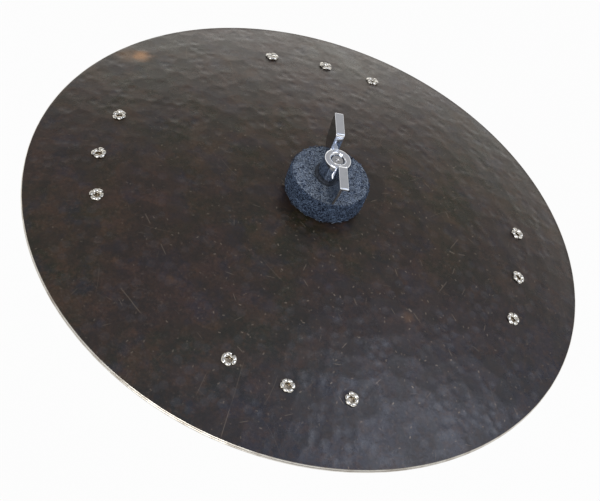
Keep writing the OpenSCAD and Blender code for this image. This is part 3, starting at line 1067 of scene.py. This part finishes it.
# A fibre's reach along, across and up, as shares of its length, and how far it turns in each
FIBRE_REACH = (0.36, 0.3, 0.045)
FIBRE_BENDS = (2.9, 2.3, 3.1)
FIBRE_TAPER = 0.55
FIBRE_SIDES = 3
FIBRE_STEPS = 8
FIBRE_SCALES = (0.4, 1.0)
FIBRE_TONES = (-0.5, 1.0)
FIBRE_TURNS = ((-0.05, -0.05, 0.0), (0.05, 0.03, math.tau))
FELT_SEEDS = (3, 11)


def dome_fall(r):
    """How far the dome has fallen at this distance from the stud."""
    return DOME_R - math.sqrt(DOME_R ** 2 - r * r)


def felt_outline(low, high, outer, foot_r, sagging):
    """A felt's outline: up its bore, over its top and down its side to its foot."""
    corners = [(FELT_BORE_R, low), (FELT_BORE_R, high), (outer, high), (outer, low),
               (FELT_BORE_R, low)]
    waist = (outer, (low + high) / 2)
    points = rounded([*corners[:3], waist], FELT_TOP_ROUND, 5)
    points += rounded([waist, *corners[3:]], foot_r, 8)[1:]
    dense = []
    for a, b in zip(points, points[1:]):
        count = max(1, int((b - a).length / FELT_STEP))
        dense += [a.lerp(b, k / count) for k in range(count)]
    return [(p.x, sagging(p.x, p.y)) for p in dense]


def ruffled(points, seed):
    """Points pushed about by smooth noise, as felt is never quite even."""
    moved = []
    for point in points:
        p = Vector(point)
        away = Vector((p.x, p.y, 0)).normalized()
        at = p / LUMP_SIZE + Vector((seed, 0, 0))
        lump = noise.fractal(at, 0.8, 2.0, 3)
        wobble = noise.noise(at * 0.35 + Vector((0, 9, 0)))
        moved.append(p + away * LUMP_H * (lump * 0.6 + wobble) + Vector((0, 0, LUMP_H * 0.5 * lump)))
    return moved


def fibre_mesh(sizes):
    """Points and faces of one loose fibre, which curls and arches a little."""
    along, across, up = (share * sizes.fibre_length for share in FIBRE_REACH)
    points, faces = [], []
    for i in range(FIBRE_STEPS):
        u = i / (FIBRE_STEPS - 1)
        bends = [bend * u for bend in FIBRE_BENDS]
        middle = Vector((along * math.sin(bends[0]), across * (1 - math.cos(bends[1])),
                         up * math.sin(bends[2])))
        r = sizes.fibre_r * (1 - FIBRE_TAPER * u)
        for k in range(FIBRE_SIDES):
            turn = math.tau * k / FIBRE_SIDES
            points.append(middle + Vector((0, r * math.cos(turn), r * math.sin(turn))))
    for i in range(FIBRE_STEPS - 1):
        for k in range(FIBRE_SIDES):
            a = i * FIBRE_SIDES + k
            b = i * FIBRE_SIDES + (k + 1) % FIBRE_SIDES
            faces.append((a, b, b + FIBRE_SIDES, a + FIBRE_SIDES))
    faces.append(tuple(reversed(range(FIBRE_SIDES))))
    faces.append(tuple(range((FIBRE_STEPS - 1) * FIBRE_SIDES, FIBRE_STEPS * FIBRE_SIDES)))
    return points, faces


def fibre_tree():
    """Scatters loose fibres over a felt."""
    tree, wires, last = new_tree("Loose fibres", {
        "Fibre": "Object", "Density": "Float", "Seed": "Int", "Wool": "Material"})
    body = wires["Geometry"]
    fibre = body.node("GeometryNodeObjectInfo", None, {"Object": wires["Fibre"]}, "Geometry")
    spots = body.node("GeometryNodeDistributePointsOnFaces", None, {
        "Mesh": body, "Density": wires["Density"], "Seed": wires["Seed"]})
    facing = Wire(tree, spots.socket.node.outputs["Rotation"])
    scale = body.random(*FIBRE_SCALES, wires["Seed"] + 1)
    laid = spots.node("GeometryNodeInstanceOnPoints", None, {
        "Points": spots, "Instance": fibre, "Rotation": facing, "Scale": scale})
    turn = body.node("FunctionNodeRandomValue", {"data_type": "FLOAT_VECTOR"},
                     {0: FIBRE_TURNS[0], 1: FIBRE_TURNS[1], 8: wires["Seed"] + 2})
    spun = laid.node("GeometryNodeRotateInstances", None, {"Instances": laid, "Rotation": turn})
    tone = body.random(*FIBRE_TONES, wires["Seed"] + 3)
    toned = spun.node("GeometryNodeStoreNamedAttribute", {"data_type": "FLOAT", "domain": "INSTANCE"},
                      {"Geometry": spun, "Name": "fibre_tone", "Value": tone})
    end_with_copies(tree, body, toned, wires["Wool"], last)
    return tree


class CYMBAL_OT_felts(Operator):
    """Builds the felt washers above and below the plates"""

    bl_idname = "cymbal.felts"
    bl_label = "Felt washers"

    def execute(self, context):
        sizes = context.scene.cymbal_sizes
        wool = wool_felt(context.scene.cymbal_colours)
        tree = fibre_tree()
        fibre = new_piece("fibre", *fibre_mesh(sizes))
        upper_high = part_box("upper_felt")[1]
        lower_low, lower_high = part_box("lower_felt")
        washer_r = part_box("nut_washer")[1].x

        def over_dome(r, z):
            """The upper felt's foot follows the dome, and the washer presses into its top."""
            share = (upper_high.z - z) / (upper_high.z - APEX_Z)
            press = WASHER_PRESS * max(0.0, 1 - max(0.0, r - washer_r) / PRESS_REACH) * (1 - share)
            return z - dome_fall(r) * max(0.0, share) - press

        def under_dome(r, z):
            """The lower felt's top follows the underside of the plates."""
            return z - dome_fall(r) * max(0.0, (z - lower_low.z) / (lower_high.z - lower_low.z))

        felts = (
            ("upper_felt", APEX_Z + FELT_SEAT, upper_high.z, upper_high.x,
             UPPER_FOOT_ROUND, over_dome, upper_high.z, APEX_Z, FELT_SEEDS[0]),
            ("lower_felt", lower_low.z, lower_high.z, lower_high.x,
             LOWER_FOOT_ROUND, under_dome, lower_low.z, lower_high.z, FELT_SEEDS[1]),
        )
        for node, low, high, outer, foot_r, sagging, still_z, moved_z, seed in felts:
            outline = felt_outline(low, high, outer - LUMP_ROOM, foot_r, sagging)
            points, faces = lathe(outline, FELT_SEGMENTS, closed=True)
            piece = new_piece(node + "_wool", ruffled(points, seed), faces)
            fix_normals(piece)
            run_tree(piece, tree, {"Fibre": fibre, "Density": sizes.fibre_density,
                                   "Seed": seed, "Wool": wool})
            piece.data.shade_smooth()
            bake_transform(piece)
            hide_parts(node)
        bpy.data.objects.remove(fibre)
        return {"FINISHED"}


# Wing nut

BOSS_FOOT_R = 6.2 * MM
BOSS_TOP_R = 5.8 * MM
BOSS_H = 9.4 * MM
BOSS_BAND = 0.9 * MM
BOSS_ROUND = 0.9 * MM
BOSS_SEGMENTS = 128
BORE_CHAMFER_W = 0.6 * MM
BORE_CHAMFER_H = 0.8 * MM
NUT_BORE_R = 3.05 * MM
WING_T = 3.8 * MM
WING_WEB = 1.2 * MM
WING_FLANGE = 1.3 * MM
WING_TIP = 22.5 * MM
WING_FOOT = 19.5 * MM
WING_INNER = 9 * MM
WING_H = 14.5 * MM
WING_ROOT = 4.4 * MM
WING_NOTCH = 7.8 * MM
WING_DROP = 0.8 * MM
WING_SHOULDER = 10 * MM
WING_VALLEY = 5 * MM
WING_LIFT = 0.4 * MM
WING_END_DROP = 3 * MM
WING_END_ROUND = 4 * MM
WING_TOP_ROUND = 1.5 * MM
NUT_SEAT = 0.05 * MM
WASHER_ROUND = 0.3 * MM
WASHER_SEGMENTS = 96

# Painted shade: the nut's upright sides, away from the wings' ends, get a darker base colour
UPRIGHT = 0.3
END_FACING = 0.8


def upright(outline, side, near, far):
    """Points and faces of an upright plate with this outline, between two places across the wings."""
    count = len(outline)
    points = [(side * x, y, z) for y in (near, far) for x, z in outline]
    faces = [tuple(reversed(range(count))), tuple(range(count, 2 * count))]
    faces += [(i, (i + 1) % count, (i + 1) % count + count, i + count) for i in range(count)]
    return points, faces


def wing_meshes(side):
    """One wing's web, on the nut's left, and the flange along its top and down its inner edge."""
    lower = [(WING_ROOT, WING_LIFT), (WING_NOTCH, WING_LIFT), (WING_NOTCH, -WING_DROP)]
    end = rounded([(WING_NOTCH, -WING_DROP), (WING_FOOT, -WING_DROP), (WING_TIP, WING_SHOULDER),
                   (WING_TIP, WING_H - WING_END_DROP)], WING_END_ROUND, 6)
    top = rounded([(WING_TIP, WING_H - WING_FLANGE), (WING_TIP, WING_H), (WING_INNER, WING_H),
                   (WING_INNER, WING_VALLEY), (WING_ROOT, WING_VALLEY)], WING_TOP_ROUND, 5)
    top = [tuple(p) for p in top]
    web = lower + [tuple(p) for p in end[1:-1]] + top[1:]
    inner = WING_INNER + WING_FLANGE
    flange = top + [(WING_ROOT, WING_VALLEY - WING_FLANGE), (inner, WING_VALLEY - WING_FLANGE),
                    (inner, WING_H - WING_FLANGE)]
    return (upright(web, side, WING_T / 2 - WING_WEB, WING_T / 2),
            upright(flange, side, -WING_T / 2, WING_T / 2 - WING_WEB / 2))


def boss_mesh():
    """Points and faces of the tapered boss with its bore."""
    corners = [(NUT_BORE_R, 0), (BOSS_FOOT_R, 0), (BOSS_FOOT_R, BOSS_BAND), (BOSS_TOP_R, BOSS_H),
               (NUT_BORE_R + BORE_CHAMFER_W, BOSS_H), (NUT_BORE_R, BOSS_H - BORE_CHAMFER_H)]
    return lathe(held(rounded(corners, BOSS_ROUND, 6)), BOSS_SEGMENTS, closed=True)


def united(piece, other):
    """Adds another solid to the piece."""
    modifier = piece.modifiers.new("Union", "BOOLEAN")
    modifier.operation = "UNION"
    modifier.solver = "EXACT"
    modifier.object = other
    baked(piece)
    bpy.data.objects.remove(other)


def evened(piece):
    """Lets the large faces set the shading at their edges."""
    modifier = piece.modifiers.new("Even", "WEIGHTED_NORMAL")
    modifier.keep_sharp = True
    baked(piece)


def bevelled(piece, width, segments=4, angle=30):
    """Rounds the piece's edges past the angle."""
    modifier = piece.modifiers.new("Bevel", "BEVEL")
    modifier.width = width
    modifier.segments = segments
    modifier.limit_method = "ANGLE"
    modifier.angle_limit = math.radians(angle)
    modifier.use_clamp_overlap = True
    baked(piece)


class CYMBAL_OT_nut(Operator):
    """Builds the wing nut and its captive washer"""

    bl_idname = "cymbal.nut"
    bl_label = "Wing nut"

    def execute(self, context):
        sizes = context.scene.cymbal_sizes
        colours = context.scene.cymbal_colours
        shades = (colours.chrome, colours.chrome_smudge, colours.chrome_painted_shade)
        chrome = bright_metal("polished chrome", shades, roughness=(0.05, 0.16), blot=7.0)
        black = blackened_steel(colours)
        nut = new_piece("wing_nut_chrome", *boss_mesh())
        fix_normals(nut)
        for side in (1, -1):
            web, flange = (new_piece("wing", *mesh) for mesh in wing_meshes(side))
            fix_normals(web)
            fix_normals(flange)
            united(web, flange)
            bevelled(web, sizes.nut_round)
            united(nut, web)
        washer_low, washer_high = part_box("nut_washer")
        nut.data.transform(Matrix.Translation((0, 0, washer_high.z + NUT_SEAT))
                           @ Matrix.Rotation(WING_TURN, 4, "Z"))
        nut.data.materials.clear()
        nut.data.materials.append(chrome)
        smooth(nut, 40)
        evened(nut)
        along = Vector((math.cos(WING_TURN), math.sin(WING_TURN), 0))
        normals = [face.normal for face in nut.data.polygons]
        # Painted shade on the nut's upright sides
        mark_painted_shade(nut, "FACE", [float(abs(n.z) < UPRIGHT and abs(n.dot(along)) < END_FACING)
                                for n in normals])
        settle(nut, "nut", "chromed_steel", "wing_nut")
        corners = [(WASHER_HOLE_R, washer_low.z), (washer_high.x, washer_low.z),
                   (washer_high.x, washer_high.z), (WASHER_HOLE_R, washer_high.z)]
        washer = turned("nut_washer_black", corners, WASHER_ROUND, WASHER_SEGMENTS, black)
        settle(washer, "nut_foot", "blackened_steel", "nut_washer")
        return {"FINISHED"}


# Stud and coupling

SOCKET_R = 4.05 * MM
SOCKET_DEPTH = 18 * MM
WEB_T = 2 * MM
COLLAR_R = 8 * MM
HEX_FLAT_R = 7 * MM
HEX_R = HEX_FLAT_R / math.cos(math.radians(30))
HEX_H = 11 * MM
STUD_SEAT_R = 3.05 * MM
SOCKET_CHAMFER = 0.5 * MM
COUPLING_CHAMFER = 0.7 * MM
COUPLING_SEGMENTS = 96

# The collar is waisted between two bands, and its knurl lies in the waist
BAND_H = 3 * MM
BAND_SLOPE_H = 0.4 * MM
WAIST_DEPTH = 0.5 * MM
RIB_INSET = 3.6 * MM
RIB_HALF_W = 0.42 * MM
RIB_ROOT_DEPTH = 0.7 * MM
RIB_CREST_DEPTH = 0.02 * MM

CUP_FLOOR_T = 1.5 * MM
CUP_LIP_T = 1.0 * MM
CUP_ROUND = 0.45 * MM
CUP_SEGMENTS = 128

# The thread's depth and the flats at its crest and root, as shares of its pitch and half pitch
THREAD_DEPTH = 0.54
THREAD_FLAT = 0.12
THREAD_SEGMENTS = 48
THREAD_STEPS = 8
STUD_CHAMFER = 0.6 * MM
DIMPLE_R = 1.05 * MM
DIMPLE_DEPTH = 2.2 * MM


def thread_mesh(sizes):
    """Points and faces of the stud with a helical thread and chamfered ends."""
    low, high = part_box("stud_rod")
    segments = THREAD_SEGMENTS
    depth = THREAD_DEPTH * sizes.thread_pitch
    steps = int((high.z - low.z) / sizes.thread_pitch * THREAD_STEPS)
    points = [(0, 0, low.z)]
    for i in range(steps + 1):
        z = low.z + (high.z - low.z) * i / steps
        end = min(z - low.z, high.z - z) / STUD_CHAMFER
        for k in range(segments):
            turn = math.tau * k / segments
            phase = (z / sizes.thread_pitch - k / segments) % 1.0
            slope = (abs(2 * phase - 1) - THREAD_FLAT) / (1 - 2 * THREAD_FLAT)
            groove = min(1.0, max(0.0, slope))
            r = STUD_R - depth * groove
            r = min(r, STUD_R - depth * (1 - min(1.0, end)))
            points.append((r * math.cos(turn), r * math.sin(turn), z))
    rim = len(points)
    points += [tuple(p) for p in circle((0, 0, high.z), (1, 0, 0), (0, 1, 0), DIMPLE_R, segments)]
    points.append((0, 0, high.z - DIMPLE_DEPTH))
    last = len(points) - 1
    faces = []
    for k in range(segments):
        n = (k + 1) % segments
        faces.append((0, 1 + n, 1 + k))
        faces.append((last, rim + k, rim + n))
        for i in range(steps + 1):
            a = 1 + i * segments + k
            b = 1 + i * segments + n
            faces.append((a, b, b + segments, a + segments))
    return points, faces


def knurl_tree():
    """Sets straight ribs round a collar."""
    tree, wires, last = new_tree("Knurled collar", {
        "Rib": "Object", "Ribs": "Int", "Plating": "Material"})
    core = wires["Geometry"]
    rib = core.node("GeometryNodeObjectInfo", None, {"Object": wires["Rib"]}, "Geometry")
    spots = core.node("GeometryNodePoints", None, {"Count": wires["Ribs"]})
    index = core.node("GeometryNodeInputIndex")
    rotation = core.node("ShaderNodeCombineXYZ", None, {"Z": index / wires["Ribs"] * math.tau})
    ring = spots.node("GeometryNodeInstanceOnPoints", None, {
        "Points": spots, "Instance": rib, "Rotation": rotation})
    end_with_copies(tree, core, ring, wires["Plating"], last)
    return tree


def hexagon_r(turn):
    """Distance from the axis to the hexagon's side."""
    return HEX_FLAT_R / math.cos(turn % (math.pi / 3) - math.pi / 6)


def coupling_mesh(top):
    """Points and faces of the coupling: its socket, hexagon, waisted collar and the stud's seat."""
    lip = COUPLING_CHAMFER
    waist_r = COLLAR_R - WAIST_DEPTH
    waist = BAND_H + BAND_SLOPE_H
    outline = [
        (0, SOCKET_DEPTH), (SOCKET_R, SOCKET_DEPTH), (SOCKET_R, SOCKET_CHAMFER),
        (SOCKET_R + SOCKET_CHAMFER, 0), (HEX_FLAT_R, 0), (HEX_R, lip), (HEX_R, HEX_H - lip),
        (HEX_FLAT_R, HEX_H), (COLLAR_R - lip, HEX_H), (COLLAR_R, HEX_H + lip),
        (COLLAR_R, HEX_H + BAND_H), (waist_r, HEX_H + waist), (waist_r, top - waist),
        (COLLAR_R, top - BAND_H), (COLLAR_R, top - lip), (COLLAR_R - lip, top), (STUD_SEAT_R, top),
        (STUD_SEAT_R, SOCKET_DEPTH + WEB_T), (0, SOCKET_DEPTH + WEB_T)]
    round_points, faces = lathe(outline, COUPLING_SEGMENTS)
    points = []
    for x, y, z in round_points:
        pull = 1.0
        if 0 < z < HEX_H:
            pull = min(1.0, hexagon_r(math.atan2(y, x)) / math.hypot(x, y))
        points.append((x * pull, y * pull, z))
    return points, faces


def rib_mesh(foot, head):
    """Points and faces of one knurl rib on the collar, at +X."""
    root = COLLAR_R - RIB_ROOT_DEPTH
    profile = [(root, -RIB_HALF_W), (COLLAR_R - RIB_CREST_DEPTH, 0), (root, RIB_HALF_W)]
    points = [(x, y, z) for z in (foot, head) for x, y in profile]
    return points, [(0, 2, 1), (3, 4, 5), (0, 1, 4, 3), (1, 2, 5, 4), (2, 0, 3, 5)]


class CYMBAL_OT_stud(Operator):
    """Builds the threaded stud, its coupling, the cup washer and the sleeve"""

    bl_idname = "cymbal.stud"
    bl_label = "Stud and coupling"

    def execute(self, context):
        sizes = context.scene.cymbal_sizes
        colours = context.scene.cymbal_colours
        shades = (colours.steel, colours.steel_smudge, colours.steel_painted_shade)
        steel = bright_metal("plated steel", shades, roughness=(0.2, 0.36), blot=5.0)
        rod = new_piece("stud_rod_threaded", *thread_mesh(sizes))
        fix_normals(rod)
        # Painted shade at the bottom of the dimple in the stud's end
        mark_painted_shade(rod, "POINT", [0.0] * (len(rod.data.vertices) - 1) + [1.0])
        rod.data.materials.append(steel)
        smooth(rod, 35)
        settle(rod, "stud", "plated_steel", "stud_rod")
        self.coupling(sizes, steel)
        self.cup(steel)
        sleeve = frame["nodes"]["sleeve"]
        sleeve.data.materials.clear()
        sleeve.data.materials.append(natural_nylon(colours))
        return {"FINISHED"}

    def coupling(self, sizes, steel):
        """A hexagon under a knurled collar, with the socket below and the stud's seat above."""
        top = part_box("stud_base")[1].z
        body = new_piece("stud_base_knurled", *coupling_mesh(top))
        fix_normals(body)
        rib = new_piece("rib", *rib_mesh(HEX_H + RIB_INSET, top - RIB_INSET))
        run_tree(body, knurl_tree(), {"Rib": rib, "Ribs": sizes.knurl_count, "Plating": steel})
        bpy.data.objects.remove(rib)
        smooth(body, 35)
        settle(body, "stud", "plated_steel", "stud_base")

    def cup(self, steel):
        """A dished washer with a rolled lip."""
        low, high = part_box("cup_washer")
        floor = low.z + CUP_FLOOR_T
        bowl = high.x - CUP_LIP_T
        corners = [(WASHER_HOLE_R, low.z), (high.x, low.z), (high.x, high.z), (bowl, high.z),
                   (bowl, floor), (WASHER_HOLE_R, floor)]
        cup = turned("cup_washer_rolled", corners, CUP_ROUND, CUP_SEGMENTS, steel)
        settle(cup, "stud", "plated_steel", "cup_washer")


# Studio

NEAREST_SEEN = 10 * MM
FLOOR_DROP = 340 * MM
FLOOR_SIZE = 6000 * MM

# Share of the floor's look that is plain white, with the shadow in the rest
FLOOR_GLOW = 0.94

# Softboxes: name, place, size, watts and colour
SOFTBOXES = [
    ("key softbox", (-0.55, -1.15, 1.05), 0.9, 9.0, (1.0, 0.98, 0.95)),
    ("side softbox", (0.70, -0.03, 1.14), 0.78, 4.6, (0.82, 0.87, 1.0)),
    ("back softbox", (-0.16, 1.75, 0.33), 1.2, 2.5, (1.0, 0.96, 0.9)),
]

# Light from the sky: height from the horizon to overhead, and colour
SKY = [
    (0.0, (1.0, 0.97, 0.93)),
    (0.1, (1.0, 0.97, 0.93)),
    (0.25, (0.84, 0.81, 0.76)),
    (0.37, (0.48, 0.46, 0.43)),
    (0.6, (0.39, 0.38, 0.37)),
    (0.85, (0.38, 0.38, 0.40)),
    (1.0, (0.48, 0.50, 0.58)),
]


def view_axes():
    """The camera's right, up and backward directions, and its place, in the part's frame."""
    back = Vector((0, -math.cos(VIEW_HEIGHT), math.sin(VIEW_HEIGHT)))
    right = Vector((1, 0, 0))
    up = back.cross(right)
    axis = (back * math.cos(VIEW_PAN) * math.cos(VIEW_TILT)
            + right * math.sin(VIEW_PAN) * math.cos(VIEW_TILT) + up * math.sin(VIEW_TILT))
    axis.normalize()
    level = up.cross(axis).normalized()
    high = axis.cross(level)
    rolled = math.cos(VIEW_ROLL) * level + math.sin(VIEW_ROLL) * high
    top = -math.sin(VIEW_ROLL) * level + math.cos(VIEW_ROLL) * high
    turn = Matrix.Rotation(VIEW_TURN, 3, "Z")
    place = turn @ (back * VIEW_DISTANCE) + Vector((0, 0, RIM_Z))
    return turn @ rolled, turn @ top, turn @ axis, place


class CYMBAL_OT_studio(Operator):
    """Sets the camera, the floor and the soft studio light"""

    bl_idname = "cymbal.studio"
    bl_label = "Studio"

    def execute(self, context):
        right, up, back, place = view_axes()
        lens = bpy.data.cameras.new("camera")
        lens.sensor_width = SENSOR_W
        lens.lens = VIEW_FOCAL / VIEW_W * SENSOR_W
        lens.clip_start = NEAREST_SEEN
        camera = bpy.data.objects.new("camera", lens)
        camera.matrix_world = Matrix.Translation(place) @ Matrix((right, up, back)).transposed().to_4x4()
        context.scene.collection.objects.link(camera)
        context.scene.camera = camera
        self.floor(context)
        self.world(context)
        for softbox in SOFTBOXES:
            self.lamp(context, *softbox)
        context.scene.view_settings.view_transform = "Standard"
        return {"FINISHED"}

    def floor(self, context):
        """A pale floor that shows white, keeps a faint shadow and is clear from below."""
        half = FLOOR_SIZE / 2
        z = -FLOOR_DROP
        floor = new_piece("floor", [(-half, -half, z), (half, -half, z), (half, half, z),
                                    (-half, half, z)], [(0, 1, 2, 3)])
        material = bpy.data.materials.new("studio floor")
        material.use_nodes = True
        tree = material.node_tree
        shader = tree.nodes["Principled BSDF"]
        shader.inputs["Base Color"].default_value = tint(context.scene.cymbal_colours.floor)
        shader.inputs["Roughness"].default_value = 0.9
        shader.inputs["Specular IOR Level"].default_value = 0.0
        path = tree.nodes.new("ShaderNodeLightPath")
        seen = Wire(tree, path.outputs["Is Camera Ray"])
        for ray in ("Is Glossy Ray", "Is Transmission Ray"):
            seen = seen.maths("MAXIMUM", Wire(tree, path.outputs[ray]))
        white = seen.node("ShaderNodeEmission", None, {"Color": (1, 1, 1, 1), "Strength": 1.0})
        mixed = seen.node("ShaderNodeMixShader", None,
                          {0: seen * FLOOR_GLOW, 1: Wire(tree, shader.outputs[0]), 2: white})
        below = seen.node("ShaderNodeNewGeometry", None, None, "Backfacing")
        clear = seen.node("ShaderNodeBsdfTransparent")
        mixed = seen.node("ShaderNodeMixShader", None,
                          {0: below * Wire(tree, path.outputs["Is Camera Ray"]), 1: mixed, 2: clear})
        tree.links.new(mixed.socket, tree.nodes["Material Output"].inputs["Surface"])
        floor.data.materials.append(material)

    def world(self, context):
        """Pale light, whiter and warmer towards the horizon than overhead."""
        world = bpy.data.worlds.new("studio")
        world.use_nodes = True
        tree = world.node_tree
        coordinates = tree.nodes.new("ShaderNodeTexCoord")
        height = Wire(tree, coordinates.outputs["Generated"]).part("Z")
        sky = height.node("ShaderNodeValToRGB", {"stops": SKY}, {0: height})
        tree.links.new(sky.socket, tree.nodes["Background"].inputs["Color"])
        context.scene.world = world

    def lamp(self, context, name, place, size, watts, shade):
        """A square softbox that faces the plates."""
        light = bpy.data.lights.new(name, "AREA")
        light.color = shade
        light.size = size
        light.energy = watts
        lamp = bpy.data.objects.new(name, light)
        lamp.location = place
        lamp.visible_camera = False
        lamp.rotation_euler = (Vector((0, 0, RIM_Z)) - Vector(place)).to_track_quat("-Z", "Y").to_euler()
        context.scene.collection.objects.link(lamp)


OPERATORS = (CYMBAL_OT_studio, CYMBAL_OT_plates, CYMBAL_OT_rivets, CYMBAL_OT_felts,
             CYMBAL_OT_nut, CYMBAL_OT_stud)


class CYMBAL_PT_panel(Panel):
    """Lists the cymbal's pieces"""

    bl_idname = "CYMBAL_PT_panel"
    bl_label = "Effect cymbal"
    bl_space_type = "VIEW_3D"
    bl_region_type = "UI"
    bl_category = "Cymbal"

    def draw(self, context):
        for operator in OPERATORS:
            self.layout.operator(operator.bl_idname)
        for group in (context.scene.cymbal_sizes, context.scene.cymbal_colours):
            for name in group.bl_rna.properties.keys():
                if name not in ("rna_type", "name"):
                    self.layout.prop(group, name)


CLASSES = (CymbalSizes, CymbalColours, *OPERATORS, CYMBAL_PT_panel)


def register():
    """Adds the panel, the operators and their settings to Blender."""
    for kind in CLASSES:
        bpy.utils.register_class(kind)
    bpy.types.Scene.cymbal_sizes = PointerProperty(type=CymbalSizes)
    bpy.types.Scene.cymbal_colours = PointerProperty(type=CymbalColours)


def unregister():
    """Takes them out again."""
    del bpy.types.Scene.cymbal_sizes
    del bpy.types.Scene.cymbal_colours
    for kind in reversed(CLASSES):
        bpy.utils.unregister_class(kind)


def main():
    """Builds the whole scene."""
    register()
    bpy.ops.cymbal.studio()
    bpy.ops.cymbal.plates()
    bpy.ops.cymbal.rivets()
    bpy.ops.cymbal.felts()
    bpy.ops.cymbal.nut()
    bpy.ops.cymbal.stud()


if __name__ == "__main__":
    main()
